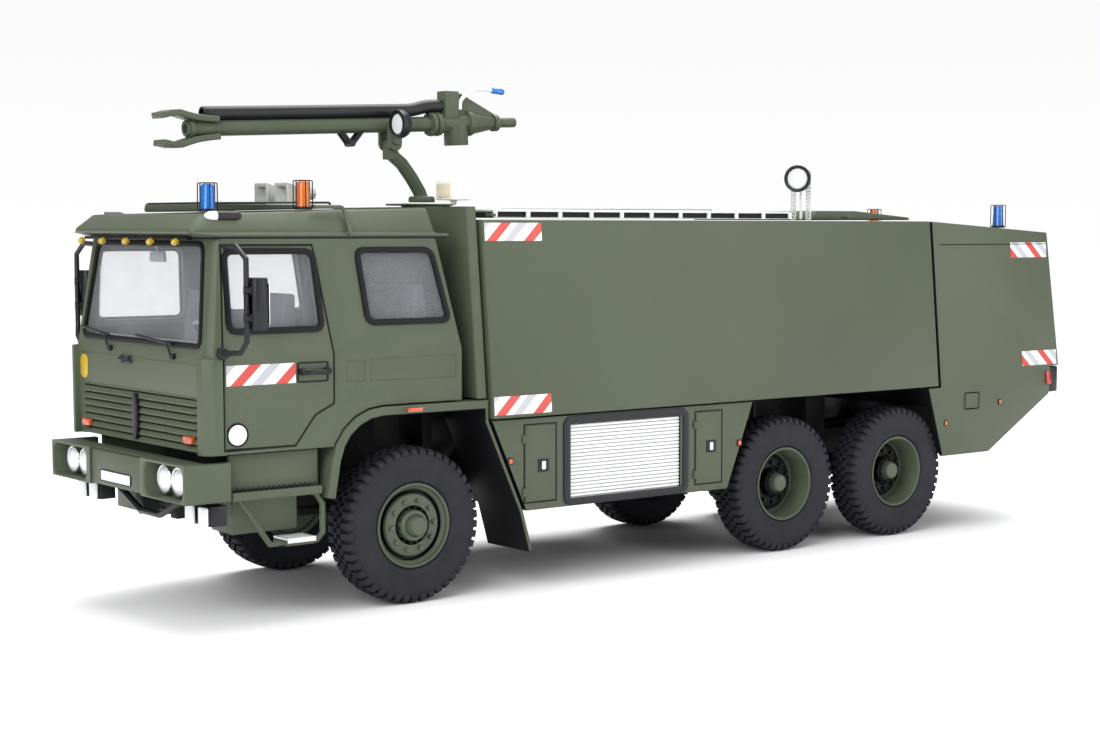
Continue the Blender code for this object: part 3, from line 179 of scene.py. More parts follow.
class Wire:
    def __init__(self, shader, socket):
        self.shader = shader
        self.socket = socket

    def maths(self, operation, first, second=0.0):
        return self.shader.node("ShaderNodeMath", {"operation": operation}, {0: first, 1: second})

    def __add__(self, other):
        return self.maths("ADD", self, other)

    def __sub__(self, other):
        return self.maths("SUBTRACT", self, other)

    def __rsub__(self, other):
        return self.maths("SUBTRACT", other, self)

    def __mul__(self, other):
        return self.maths("MULTIPLY", self, other)

    def __truediv__(self, other):
        return self.maths("DIVIDE", self, other)

    def __gt__(self, other):
        return self.maths("GREATER_THAN", self, other)

    def __lt__(self, other):
        return self.maths("LESS_THAN", self, other)

    def __abs__(self):
        return self.maths("ABSOLUTE", self)

    def remainder(self):
        return self.maths("FRACT", self)


class Shader:
    def __init__(self, name, **fixed):
        self.material = bpy.data.materials.new(name)
        self.material.use_nodes = True
        self.tree = self.material.node_tree
        self.surface = self.tree.nodes["Principled BSDF"]
        for key, value in fixed.items():
            self.surface.inputs[key.replace("_", " ")].default_value = value
        self.place = self.node("ShaderNodeTexCoord", {}, {}, "Object")

    def node(self, kind, settings, values, out=0):
        made = self.tree.nodes.new(kind)
        for key, value in settings.items():
            setattr(made, key, value)
        for key, value in values.items():
            if isinstance(value, Wire):
                self.tree.links.new(value.socket, made.inputs[key])
            else:
                made.inputs[key].default_value = value
        return Wire(self, made.outputs[out])

    def set(self, name, wire):
        self.tree.links.new(wire.socket, self.surface.inputs[name])

    def axes(self):
        return [self.node("ShaderNodeSeparateXYZ", {}, {0: self.place}, out) for out in range(3)]

    def noise(self, scale, detail=3.0, stretch=(1, 1, 1)):
        place = self.node("ShaderNodeMapping", {}, {"Vector": self.place, "Scale": stretch})
        return self.node("ShaderNodeTexNoise", {}, {"Vector": place, "Scale": scale, "Detail": detail})

    def mix(self, factor, first, second):
        return self.node("ShaderNodeMix", {"data_type": "RGBA"}, {0: factor, 6: first, 7: second}, 2)

    def bump(self, height, strength, distance):
        return self.node("ShaderNodeBump", {},
                         {"Height": height, "Strength": strength, "Distance": distance * mm})


def colour(red, green, blue):
    # from a screen colour's 0 to 255 to linear light
    return tuple(((v / 255 + 0.055) / 1.055) ** 2.4 for v in (red, green, blue)) + (1,)


def painted(name, base, dusty, roughness=0.42, grain=0.03, **fixed):
    shader = Shader(name, **fixed)
    cloud = shader.noise(22, 2)
    speck = shader.noise(1500, 2)
    shader.set("Base Color", shader.mix(cloud * 0.9 + speck * 0.35 - 0.2, base, dusty))
    shader.set("Roughness", speck * 0.16 + roughness - 0.08)
    shader.set("Normal", shader.bump(speck + shader.noise(420, 2) * 2, 0.35, grain))
    return shader.material


def rubbery(name, base, dusty, roughness, grain=0.05, **fixed):
    shader = Shader(name, **fixed)
    dust = shader.noise(260, 4)
    fine = shader.noise(1900, 2)
    shader.set("Base Color", shader.mix(dust * 1.4 - 0.35, base, dusty))
    shader.set("Roughness", dust * 0.15 + roughness - 0.07)
    shader.set("Normal", shader.bump(fine + dust, 0.5, grain))
    return shader.material


def glassy(name, tint, roughness, alpha=1.0, ribs=0, emission=0.0, **fixed):
    shader = Shader(name, **fixed)
    smear = shader.noise(300, 3)
    x, y, z = shader.axes()
    shader.set("Base Color", shader.mix(smear * 0.5, tint, tuple(v * 0.82 for v in tint[:3]) + (1,)))
    shader.set("Roughness", smear * 0.06 + roughness)
    if alpha < 1:
        shader.set("Alpha", smear * 0.08 + alpha - 0.04)
    if ribs:
        wave = abs((y * (ribs / mm)).remainder() - 0.5)
        shader.set("Normal", shader.bump(wave, 0.6, 0.2))
    if emission:
        shader.surface.inputs["Emission Color"].default_value = tint
        shader.surface.inputs["Emission Strength"].default_value = emission
    return shader.material


finishes = {
    "olive": painted("olive paint", colour(69, 76, 60), colour(84, 92, 74), 0.46, Specular_IOR_Level=0.3),
    "darkOlive": painted("underside olive", colour(20, 22, 19), colour(32, 35, 30), 0.6,
                         Specular_IOR_Level=0.2),
    "black": rubbery("black plastic", colour(16, 16, 19), colour(28, 28, 33), 0.42, 0.02,
                     Specular_IOR_Level=0.35),
    "seal": rubbery("window seal", colour(10, 10, 12), colour(20, 20, 24), 0.5, 0.02, Specular_IOR_Level=0.2),
    "tyre": rubbery("tyre rubber", colour(33, 33, 38), colour(48, 48, 55), 0.7, Specular_IOR_Level=0.2),
    "trim": rubbery("cab trim", colour(132, 132, 138), colour(150, 150, 154), 0.7, 0.03),
    "seat": rubbery("seat cloth", colour(100, 100, 110), colour(120, 120, 128), 0.85, 0.08),
    "horn": painted("light grey enamel", colour(168, 170, 166), colour(190, 191, 186), 0.4),
    "white": painted("white enamel", colour(228, 229, 226), colour(238, 238, 236), 0.35, 0.015),
    "silver": painted("bare metal", colour(206, 208, 208), colour(226, 227, 225), 0.34, 0.02, Metallic=0.25),
    "chrome": painted("polished metal", colour(190, 192, 192), colour(214, 215, 214), 0.16, 0.01,
                      Metallic=0.95),
    "brass": painted("brass paint", colour(168, 138, 34), colour(204, 172, 52), 0.35, 0.02),
    "lamp": glassy("lamp glass", colour(228, 230, 232), 0.08, ribs=1.6, Coat_Weight=0.6),
    "pale": glassy("pale lamp glass", colour(226, 212, 186), 0.1, ribs=1.6, Coat_Weight=0.4),
    "glass": glassy("cab glazing", colour(196, 200, 206), 0.03, 0.13, Specular_IOR_Level=0.35),
    "blue": glassy("blue lens", colour(0, 104, 190), 0.12, 0.9, 1.2, 0.12, Coat_Weight=0.5),
    "amber": glassy("amber lens", colour(206, 104, 24), 0.12, 0.86, 1.2, 0.12, Coat_Weight=0.5),
    "red": glassy("red lens", colour(170, 38, 26), 0.14, 1.0, 2.2, 0.05, Coat_Weight=0.5),
    "orange": glassy("orange lens", colour(196, 78, 40), 0.14, 1.0, 2.2, 0.05, Coat_Weight=0.5),
}
print("finishes made")


# tools for every piece

def only(*pieces):
    if bpy.context.object and bpy.context.object.mode != "OBJECT":
        bpy.ops.object.mode_set(mode="OBJECT")
    bpy.ops.object.select_all(action="DESELECT")
    for piece in pieces:
        piece.select_set(True)
    bpy.context.view_layer.objects.active = pieces[0] if pieces else None


def editing(piece):
    only(piece)
    bpy.ops.object.mode_set(mode="EDIT")
    bpy.ops.mesh.select_all(action="SELECT")


def done():
    bpy.ops.object.mode_set(mode="OBJECT")
    return bpy.context.object


def closed(piece):
    editing(piece)
    bpy.ops.mesh.remove_doubles(threshold=0.002 * mm)
    bpy.ops.mesh.normals_make_consistent(inside=False)
    return done()


def changed(piece, kind, **settings):
    only(piece)
    modifier = piece.modifiers.new(kind.lower(), kind)
    for key, value in settings.items():
        setattr(modifier, key, value)
    bpy.ops.object.modifier_apply(modifier=modifier.name)
    return piece


def softened(piece, width, segments=2, angle=30):
    return changed(piece, "BEVEL", width=width * mm, segments=segments, limit_method="ANGLE",
                   angle_limit=math.radians(angle), use_clamp_overlap=False)


def kept(piece, name, finish, body="truck", slotName=None, smooth=34, stands=()):
    only(piece)
    piece.name = name
    piece.data.name = name
    bpy.ops.object.transform_apply(location=True, rotation=True, scale=True)
    bpy.ops.object.shade_smooth_by_angle(angle=math.radians(smooth))
    piece.data.materials.clear()
    piece.data.materials.append(finishes[finish] if isinstance(finish, str) else finish)
    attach(piece, body)
    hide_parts(*stands)
    return piece


def refined(node, width, finish, slotName, name=None, smooth=34, segments=2):
    # a copy of a CAD part with its edges softened
    source = nodes[node]
    piece = bpy.data.objects.new("work", source.data.copy())
    bpy.context.scene.collection.objects.link(piece)
    editing(piece)
    bpy.ops.mesh.remove_doubles(threshold=0.002 * mm)
    bpy.ops.mesh.dissolve_limited(angle_limit=math.radians(0.6))
    done()
    if width:
        softened(piece, width, segments)
        changed(piece, "WEIGHTED_NORMAL", keep_sharp=True)
    return kept(piece, name or node + "_shell", finish, source["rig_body"], slotName, smooth, (node,))


def partly(piece, finish, chosen):
    # a second finish on the faces a test picks
    piece.data.materials.append(finishes[finish])
    for face in piece.data.polygons:
        if chosen(face.center / mm, face.normal):
            face.material_index = 1
    return piece


def plate(corners, thickness, rounding=0.0, steps=3):
    # a flat outline given a thickness along a vector
    only()
    bpy.ops.mesh.primitive_circle_add(vertices=len(corners), radius=mm, fill_type="NGON")
    piece = bpy.context.object
    for vertex, corner in zip(piece.data.vertices, corners):
        vertex.co = corner
    editing(piece)
    if rounding:
        bpy.ops.mesh.bevel(offset=rounding * mm, segments=steps, affect="VERTICES")
    if thickness is not None:
        bpy.ops.mesh.select_all(action="SELECT")
        bpy.ops.mesh.extrude_region_move(TRANSFORM_OT_translate={"value": Vector(thickness)})
        bpy.ops.mesh.select_all(action="SELECT")
        bpy.ops.mesh.normals_make_consistent(inside=False)
    return done()


def frameRing(corners, thickness, width, rounding=0.0, steps=3):
    # an outline with its middle taken out
    piece = plate(corners, None, rounding, steps)
    editing(piece)
    bpy.ops.mesh.inset(thickness=width * mm)
    bpy.ops.mesh.delete(type="FACE")
    bpy.ops.mesh.select_all(action="SELECT")
    bpy.ops.mesh.extrude_region_move(TRANSFORM_OT_translate={"value": Vector(thickness)})
    bpy.ops.mesh.select_all(action="SELECT")
    bpy.ops.mesh.normals_make_consistent(inside=False)
    return done()


def box(low, high):
    return plate([at(x, y, low[2]) for x, y in rectangle(low[:2], high[:2])], (0, 0, (high[2] - low[2]) * mm))


def spun(profile, centre, axis, steps=48):
    # profile: distances along the axis and from it
    axis = Vector(axis).normalized()
    across = axis.orthogonal().normalized()
    only()
    bpy.ops.mesh.primitive_circle_add(vertices=len(profile), radius=mm, fill_type="NOTHING")
    piece = bpy.context.object
    for vertex, (along, radius) in zip(piece.data.vertices, profile):
        vertex.co = centre + axis * along * mm + across * radius * mm
    editing(piece)
    bpy.ops.mesh.spin(steps=steps, angle=math.tau, center=centre, axis=axis, use_auto_merge=True)
    done()
    return closed(piece)


def tube(points, radius, facets=3):
    curve = bpy.data.curves.new("tube", "CURVE")
    curve.dimensions = "3D"
    curve.bevel_depth = radius * mm
    curve.bevel_resolution = facets
    curve.use_fill_caps = True
    spline = curve.splines.new("POLY")
    spline.points.add(len(points) - 1)
    for point, place in zip(spline.points, points):
        point.co = (*place, 1)
    piece = bpy.data.objects.new("tube", curve)
    bpy.context.scene.collection.objects.link(piece)
    only(piece)
    bpy.ops.object.convert(target="MESH")
    return closed(bpy.context.object)


def bent(points, radius=2.0, steps=4):
    # the corners of a path turned into arcs
    points = [Vector(point) for point in points]
    path = [points[0]]
    for before, corner, after in zip(points, points[1:], points[2:]):
        back, ahead = before - corner, after - corner
        reach = min(radius * mm, back.length * 0.45, ahead.length * 0.45)
        start, end = corner + back.normalized() * reach, corner + ahead.normalized() * reach
        for step in range(steps + 1):
            t = step / steps
            path.append(start * (1 - t) ** 2 + corner * 2 * t * (1 - t) + end * t ** 2)
    return path + [points[-1]]


def joined(pieces):
    only(*pieces)
    if len(pieces) > 1:
        bpy.ops.object.join()
    return bpy.context.object


def repeated(piece, moves):
    made = []
    for move in moves:
        twin = piece.copy()
        twin.data = piece.data.copy()
        twin.data.transform(move)
        bpy.context.scene.collection.objects.link(twin)
        made.append(twin)
    bpy.data.objects.remove(piece)
    return joined(made)


def flipped(piece):
    # moved to the truck's other side
    piece.data.transform(Matrix.Scale(-1, 4, (0, 1, 0)))
    piece.data.flip_normals()
    return piece


def mirrored(piece):
    twin = piece.copy()
    twin.data = piece.data.copy()
    bpy.context.scene.collection.objects.link(twin)
    return flipped(twin)


def bothSides(piece):
    return joined([piece, mirrored(piece)])


def around(centre, axis, count, first=0.0):
    for number in range(count):
        turn = Matrix.Rotation(first + math.tau * number / count, 4, axis)
        yield Matrix.Translation(centre) @ turn @ Matrix.Translation(-centre)


# floor

only()
bpy.ops.mesh.primitive_circle_add(vertices=96, radius=6, fill_type="NGON")
floor = bpy.context.object
floor.name = "floor"
paper = Shader("studio paper", Roughness=0.9)
paper.set("Base Color", paper.mix(paper.noise(1.2), colour(240, 240, 241), colour(246, 246, 246)))
floor.data.materials.append(paper.material)
floor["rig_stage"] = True


# painted castings with softened edges

castings = {"cab_shell": 0.16, "cab_roof": 0.3, "front_bumper": 0.22, "bumper_panel": 0.15, "tank_body": 0.3,
            "locker_body": 0.15, "tail_body": 0.22, "roof_cover": 0.3, "monitor_base": 0.15,
            "monitor_arm": 0.12,
            "monitor_barrel": 0.08, "monitor_elbow": 0.12, "front_mudguard_left": 0.16,
            "front_mudguard_right": 0.16, "cab_step_left": 0.12, "cab_step_right": 0.12}
front = axleX / mm


def insideArch(side):
    # a mudguard's black flap, and what faces down behind its lip, which is painted near-black as painted
    # shade
    return lambda spot, facing: spot.x - front < -12.5 or facing.z < -0.2 and side * spot.y < 28.2


# faces that lie in shade (under the tank, in the locker's and tail's wells, inside the arches) get the
# near-black seal finish: painted shade
shaded = {"tank_body": lambda spot, facing: facing.z < -0.8,
          "locker_body": lambda spot, facing: abs(facing.y) < 0.6 and spot.z < 33,
          "tail_body": lambda spot, facing: facing.x > 0.5 or (abs(facing.y) < 0.5 and spot.x - front > -150),
          "front_mudguard_left": insideArch(1), "front_mudguard_right": insideArch(-1)}
for node, width in castings.items():
    piece = refined(node, width, "olive", "olive_paint")
    if node in shaded:
        partly(piece, "seal", shaded[node])
for node, width in {"chassis_frame": 0.12, "front_axle": 0.12, "rear_bogie": 0.12}.items():
    refined(node, width, "darkOlive", "dark_olive_paint")
for node, width in {"bulkhead": 0.2, "roof_hatch": 0.25}.items():
    refined(node, width, "olive", "dark_olive_paint")
plastics = {"underrun_bar": 0.12, "mirror_left": 0.2, "mirror_right": 0.2, "rear_bumper": 0.3}
for node, width in plastics.items():
    refined(node, width, "black", "black_plastic")
refined("cab_interior", 0.5, "seat", "cab_trim", segments=4)
refined("dashboard", 0.15, "trim", "cab_trim")
refined("air_horns", 0.12, "horn", "cab_trim")
refined("floodlight", 0.35, "white", "white_enamel", segments=3)
for node in ("windscreen", "glazing_left", "glazing_right"):
    refined(node, 0.0, "glass", "clear_glazing")
print("castings softened")


# tyres: a plain carcass, then lugs on both shoulders and staggered blocks between them

tyre = {"lugs": 46, "lugWidth": 1.28, "blockWidth": 1.15, "bead": 8.15}
carcass = [(-3.2, tyre["bead"]), (-3.7, 8.5), (-3.82, 9.0), (-3.94, 9.3), (-3.86, 9.6), (-3.93, 10.4),
           (-3.97, 11.2),
           (-3.95, 12.2), (-3.88, 13.0), (-3.6, 13.6), (-3.1, 13.95), (-1.2, 14.05)]
carcass += [(-along, radius) for along, radius in reversed(carcass)]
lugOutline = [(1.25, 13.6), (1.3, 14.76), (3.2, 14.62), (3.72, 14.25), (3.92, 13.8), (3.92, 13.4),
              (3.6, 13.1), (3.0, 13.3)]
blockOutline = [(0.12, 13.7), (0.14, 14.79), (1.0, 14.78), (1.05, 13.7)]
hub = Vector((0, 0, 0))


def lug(outline, width, turn):
    corners = [Vector((-width / 2 * mm, across * mm, up * mm)) for across, up in outline]
    piece = softened(plate(corners, (width * mm, 0, 0)), 0.1, 1, 40)
    return repeated(piece, around(hub, "Y", tyre["lugs"], turn))


def wholeTyre():
    pitch = math.tau / tyre["lugs"]
    near = joined([lug(lugOutline, tyre["lugWidth"], 0), lug(blockOutline, tyre["blockWidth"], pitch / 2)])
    far = mirrored(near)
    far.data.transform(Matrix.Rotation(pitch / 2, 4, "Y"))
    return joined([spun(carcass, hub, (0, 1, 0), 92), near, far])


# rims: a flush disc with nuts in front, a deep dish behind

flange = [(-4.3, 0), (-4.3, 2.9), (-3.0, 2.9), (-3.0, 6.8), (-3.4, 7.2), (-3.5, 8.05), (3.2, 8.08),
          (3.55, 7.95), (3.6, 7.7),
          (3.45, 7.5), (2.9, 7.35)]
frontRim = flange + [(2.6, 6.95), (2.35, 6.75), (1.5, 6.6), (1.45, 6.2), (2.3, 6.05), (2.75, 5.8),
                     (2.95, 5.4), (2.95, 3.75), (2.2, 3.65), (2.2, 3.0), (3.7, 2.9), (3.95, 2.7), (4.0, 2.2),
                     (3.8, 2.0), (5.1, 1.85), (5.45, 1.6), (5.58, 1.1), (5.6, 0)]
rearRim = flange + [(1.5, 6.95), (0.2, 6.8), (-1.3, 6.65), (-1.7, 6.3), (-1.7, 5.9), (-0.9, 5.6), (-0.7, 5.2),
                    (-0.7, 3.6), (-1.3, 3.4), (-1.3, 3.1), (0.4, 2.95), (0.7, 2.7), (0.7, 2.1), (2.1, 1.85),
                    (2.4, 1.55), (2.5, 1.0), (2.5, 0)]
nuts = {"front": {"count": 10, "radius": 4.75, "face": 2.9, "size": 0.52, "high": 0.75},
        "rear": {"count": 10, "radius": 4.4, "face": -0.75, "size": 0.52, "high": 0.8}}
studs = {"front": {"count": 14, "radius": 3.32, "face": 2.1, "size": 0.3, "high": 1.2},
         "rear": {"count": 12, "radius": 2.45, "face": 0.65, "size": 0.24, "high": 0.5}}


def bolts(size):
    only()
    bpy.ops.mesh.primitive_cylinder_add(vertices=6, radius=size["size"] * mm, depth=size["high"] * 2 * mm,
                                        location=(0, size["face"] * mm, size["radius"] * mm),
                                        rotation=(math.pi / 2, 0, 0))
    piece = bpy.context.object
    bpy.ops.object.transform_apply(location=True, rotation=True, scale=True)
    editing(piece)
    bpy.ops.mesh.bevel(offset=size["size"] * 0.22 * mm, segments=1, affect="EDGES")
    done()
    return repeated(piece, around(hub, "Y", size["count"], 0.12))


def wholeRim(kind):
    return joined([spun(frontRim if kind == "front" else rearRim, hub, (0, 1, 0), 72), bolts(nuts[kind]),
                   bolts(studs[kind])])


rimPaint = Shader("rim paint")
rimCloud = rimPaint.noise(160, 3)
rimPaint.set("Base Color", rimPaint.mix(rimCloud * 1.2 - 0.2, colour(64, 71, 56), colour(82, 91, 72)))
rimPaint.set("Roughness", rimCloud * 0.2 + 0.4)
rimPaint.set("Normal", rimPaint.bump(rimPaint.noise(1500, 2), 0.4, 0.03))
finishes["rim"] = rimPaint.material


def recessed(spot, frontWheel):
    # the black groove and gear ring in front, the dark dish floor behind
    radius, out = math.hypot(spot.x, spot.z), abs(spot.y)
    if frontWheel:
        return 6.02 < radius < 6.85 and out < 2.45 or 2.95 < radius < 3.72
    return 2.15 < radius < 6.3 and spot.y * spot.y < 9 and out < 2.2


# each axle's wheels stopped at an angle of their own
wheelTurns = {"front": 1.5, "middle": 1.8, "rear": 1.2}
patterns = {"tyre": wholeTyre(), "front": wholeRim("front"), "rear": wholeRim("rear")}
for axle in ("front", "middle", "rear"):
    for side, turn in (("left", 0), ("right", math.pi)):
        wheelLow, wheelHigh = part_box(axle + "_" + side + "_tyre")
        centre = (wheelLow + wheelHigh) / 2
        for part, finish, slotName in (("tyre", "tyre", "tyre_rubber"), ("rim", "rim", "olive_paint")):
            pattern = patterns[part] if part == "tyre" else patterns["front" if axle == "front" else "rear"]
            piece = pattern.copy()
            piece.data = pattern.data.copy()
            bpy.context.scene.collection.objects.link(piece)
            piece.data.transform(Matrix.Translation(centre) @ Matrix.Rotation(turn, 4, "Z")
                                 @ Matrix.Rotation(wheelTurns[axle], 4, "Y"))
            wheel = axle + "_" + side
            kept(piece, wheel + "_" + part + "_moulding", finish, wheel + "_wheel", slotName, 30,
                 (wheel + "_" + part,))
            if part == "rim":
                middle = centre / mm
                partly(piece, "seal", lambda spot, facing: recessed(spot - middle, axle == "front"))
for pattern in patterns.values():
    bpy.data.objects.remove(pattern)
print("wheels made")


# cab: window seals, doors, handles and markings

cab = {"belt": 47.9, "top": 68.6, "side": (27.7, 25.2), "front": (42.5, 39.9),
       "body": (33.9, 29.0, 72.1, 25.5)}
upZ, outY, outX = Vector((0, 0, 1)), Vector((0, 1, 0)), Vector((1, 0, 0))


def leaning(pair, z):
    share = max(0, (z - cab["belt"]) / (cab["top"] - cab["belt"]))
    return pair[0] + (pair[1] - pair[0]) * share


def bodyAt(z):
    low, lowHalf, high, highHalf = cab["body"]
    return lowHalf + (highHalf - lowHalf) * (z - low) / (high - low)


def leaned(piece, surface):
    # a piece built flat, laid on the leaning side or front
    for vertex in piece.data.vertices:
        z = vertex.co.z / mm
        if surface == "side":
            vertex.co.y += leaning(cab["side"], z) * mm
        elif surface == "front":
            vertex.co.x += leaning(cab["front"], z) * mm
        else:
            vertex.co.y += bodyAt(z) * mm
    return piece


def sidePlate(outline, out, thickness, rounding=0.0, surface="side"):
    return leaned(plate([at(x, out, z) for x, z in outline], outY * thickness * mm, rounding), surface)


def sideRing(outline, out, thickness, width, rounding=0.0, surface="side"):
    return leaned(frameRing([at(x, out, z) for x, z in outline], outY * thickness * mm, width, rounding),
                  surface)


def frontPlate(outline, out, thickness, rounding=0.0):
    return leaned(plate([at(out, y, z) for y, z in outline], outX * thickness * mm, rounding), "front")


def frontRing(outline, out, thickness, width, rounding=0.0):
    return leaned(frameRing([at(out, y, z) for y, z in outline], outX * thickness * mm, width, rounding),
                  "front")


seals = {"door": [(19.2, 51.9), (38.9, 51.9), (38.9, 66.9), (20.3, 66.9)],
         "rear": [(-8.3, 52.7), (10.6, 52.7), (12.1, 67.0), (-5.1, 67.0)],
         "screen": [(-24.6, 49.4), (24.6, 49.4), (21.9, 68.1), (-21.9, 68.1)], "width": 1.1, "proud": 0.32}
pieces = [sideRing(seals[name], -0.25, 0.25 + seals["proud"], seals["width"], 1.9) for name in ("door",
                                                                                                "rear")]
rubbers = bothSides(softened(joined(pieces), 0.12, 2))
screenSeal = softened(frontRing(seals["screen"], -0.25, 0.55, 0.95, 1.9), 0.12, 2)
kept(joined([rubbers, screenSeal]), "window_seals", "seal")

door = {"outline": [(17.5, 38.8), (21.5, 36.9), (25.6, 31.6), (40.0, 31.6), (40.0, 47.9), (38.9, 67.6),
                    (20.5, 67.6), (17.5, 47.9)], "handle": (21.8, 44.9), "recess": (22.1, 44.8, 6.4, 3.7),
                    "disc": (37.3, 34.4, 1.95)}
shutLine = sideRing(door["outline"], -0.42, 0.12, 0.36)
recess = sideRing(oblong(*door["recess"]), -0.02, 0.14, 0.28, 0.5)
kept(bothSides(joined([shutLine, recess])), "door_lines", "darkOlive")
x, z = door["handle"]
grip = tube(bent(spots((x + 3.0, 28.4, z), (x + 1.6, 28.9, z), (x - 1.4, 28.9, z - 0.1),
                       (x - 2.9, 28.3, z - 0.1)), 0.8), 0.48)
pads = [softened(sidePlate(oblong(x + shift, z, 1.5, 1.25), -0.05, 0.75, 0.4), 0.12) for shift in (2.5, -2.5)]
kept(bothSides(joined([grip, *pads])), "door_handles", "black")


def disc(centre, axis, radius, thickness, steps=40):
    return spun([(0, 0), (0, radius), (thickness * 0.6, radius), (thickness, radius - thickness * 0.4),
                 (thickness, 0)], centre, axis, steps)


x, z, radius = door["disc"]
kept(bothSides(disc(at(x, 27.71, z), outY, radius - 0.1, 0.1)), "door_discs", "white")
kept(bothSides(spun([(0, radius - 0.16), (0.16, radius - 0.16), (0.16, radius + 0.16), (0, radius + 0.16)],
                    at(x, 27.71, z), outY, 40)), "disc_rims", "seal")
kept(softened(frontPlate([(-25.0, 42.5), (-24.2, 41.7), (-22.5, 41.7), (-21.7, 42.5), (-21.7, 45.4),
                          (-22.5, 46.2), (-24.2, 46.2), (-25.0, 45.4)], 0.0, 0.14, 0.3), 0.04), "class_disc",
                          "brass")
print("doors made")


# striped markings: white plates with slanted red and grey bars

stripe = {"pitch": 8.9, "red": 0.27, "grey": (0.46, 0.7), "slant": 1.05,
          "patches": [("door", 39.4, 25.6, 43.0, 46.6, 38.6, 1, "side"),
                      ("tank_top", -16.9, -30.5, 68.0, 71.5, -17.2, 1, "body"),
                      ("tank_low", -16.9, -30.6, 34.6, 38.2, -17.1, 1, "body"),
                      ("tail_top", -171.2, -184.6, 63.5, 67.1, -171.4, -1, "body"),
                      ("tail_low", -173.4, -186.2, 37.4, 40.9, -173.8, -1, "body")]}


def striped(name, start, base, slant):
    shader = Shader(name, Coat_Weight=0.2)
    x, y, z = shader.axes()
    along = (start * mm + axleX) - x - (z - base * mm) * (slant * stripe["slant"])
    share = (along / (stripe["pitch"] * mm)).remainder()
    low, high = stripe["grey"]
    dust = shader.noise(700, 3)
    white = shader.mix(dust, colour(216, 217, 218), colour(226, 226, 226))
    grey = shader.mix((share > low) * (share < high), white, colour(176, 178, 184))
    red = shader.mix(dust, colour(186, 54, 44), colour(198, 66, 56))
    shader.set("Base Color", shader.mix(share < stripe["red"], grey, red))
    shader.set("Roughness", dust * 0.15 + 0.35)
    shader.set("Normal", shader.bump(dust, 0.2, 0.02))
    return shader.material


for name, front, rear, low, high, start, slant, surface in stripe["patches"]:
    patch = sidePlate(rectangle((rear, low), (front, high)), 0.0, 0.06, 0.12, surface)
    kept(bothSides(patch), "stripes_" + name, striped("stripes " + name, start, low, slant))
print("markings made")


# grille: louvres in three columns, with lamps and a plain bar

grille = {"low": 31.1, "high": 40.4, "edge": 23.4, "rows": 7, "joints": (-19.6, 11.4), "face": 41.4}
rowHigh = (grille["high"] - grille["low"]) / grille["rows"]
back = box((grille["face"], -grille["edge"], grille["low"]),
           (grille["face"] + 0.35, grille["edge"], grille["high"]))
kept(back, "grille_back", "seal", slotName="black_plastic")
slats = []
edges = [-grille["edge"], *grille["joints"], grille["edge"]]
for number in range(grille["rows"]):
    foot = grille["low"] + number * rowHigh
    for first, last in zip(edges, edges[1:]):
        section = [(0.3, 0.12), (1.55, 0.2), (1.62, 0.45), (1.15, rowHigh - 0.12), (0.3, rowHigh - 0.02)]
        corners = [at(grille["face"] + out, first + 0.09, foot + up) for out, up in section]
        slats.append(plate(corners, outY * (last - first - 0.18) * mm))
louvres = softened(joined(slats), 0.07, 1)
kept(louvres, "grille_louvres", "olive", slotName="olive_paint", stands=("grille_panel",))
lamps = []
for side in (1, -1):
    face = rectangle((side * 22.6, 32.7), (side * 19.4, 34.0))
    lamps.append(softened(frontPlate(face, 0.35, 0.75, 0.3), 0.1))
kept(joined(lamps), "grille_lamps", "orange")
badge = softened(frontPlate([(-0.5, 31.8), (0.5, 31.8), (1.05, 34.0), (1.05, 38.0), (0.5, 40.3), (-0.5, 40.3),
                             (-1.05, 38.0), (-1.05, 34.0)], 0.3, 0.75, 0.25), 0.15)
kept(badge, "grille_bar", "black")
crease = [softened(frontPlate(rectangle((-24, z), (24, z + 0.3)), -0.03, 0.15), 0.05) for z in (46.4, 40.6)]
kept(joined(crease), "front_creases", "olive", slotName="olive_paint")
handle = tube(bent(spots((42.5, -6.6, 46.2), (43.5, -6.2, 46.3), (43.5, -3.6, 46.3), (42.5, -3.2, 46.2)),
                   0.6), 0.38)
feet = [disc(at(42.45, y, 46.2), outX, 0.8, 0.35, 20) for y in (-6.6, -3.2)]
kept(joined([handle, *feet]), "front_grab_handle", "black")

# each wiper: pivot, elbow, and the blade's tip and heel, with how far they stand off the glass
wipers = (((14.6, 47.7), (12.6, 50.1), (0.0, 50.9), (14.6, 49.9)),
          ((-11.2, 48.0), (-13.0, 50.4), (-23.4, 51.6), (-11.4, 50.5)))
standOff = (0.7, 0.9, 0.75, 0.75)
blades = []
for wiper in wipers:
    shaft = at(leaning(cab["front"], wiper[0][1]), *wiper[0])
    pivot, elbow, tip, heel = [at(leaning(cab["front"], z) + out, y, z) for (y, z),
                               out in zip(wiper, standOff)]
    blades += [disc(shaft, outX, 0.55, 1.0, 16), tube([pivot, elbow], 0.2), tube([tip, heel], 0.26),
               tube([elbow, (tip + heel) / 2], 0.18)]
kept(joined(blades), "wipers", "black")

visor = {"lamps": (-21.6, -12.6, -2.6, 7.4, 17.2), "strip": (-21.0, 21.0), "roof": (40.1, -8.6, 25.1)}
strip = softened(box((41.9, visor["strip"][0], 68.3), (43.1, visor["strip"][1], 68.85)), 0.12)
kept(strip, "visor_strip", "seal")
front, rear, half = visor["roof"]
edge = [at(x, y, 68.5) for x, y in ((front, half), (front, -half), (rear, -half), (rear, half))]
roofSeal = frameRing(edge, upZ * 0.5 * mm, 0.7)
kept(roofSeal, "roof_seal", "seal")
bulbs = [spun([(0, 0), (0, 0.55), (0.7, 0.62), (1.1, 0.4), (1.25, 0)], at(42.9, y, 68.2), (0.9, 0, -0.45), 20)
         for y in visor["lamps"]]
kept(joined(bulbs), "visor_lamps", "brass")
print("cab front made")


# bumper: headlamps, fog lamps, plate and its rings

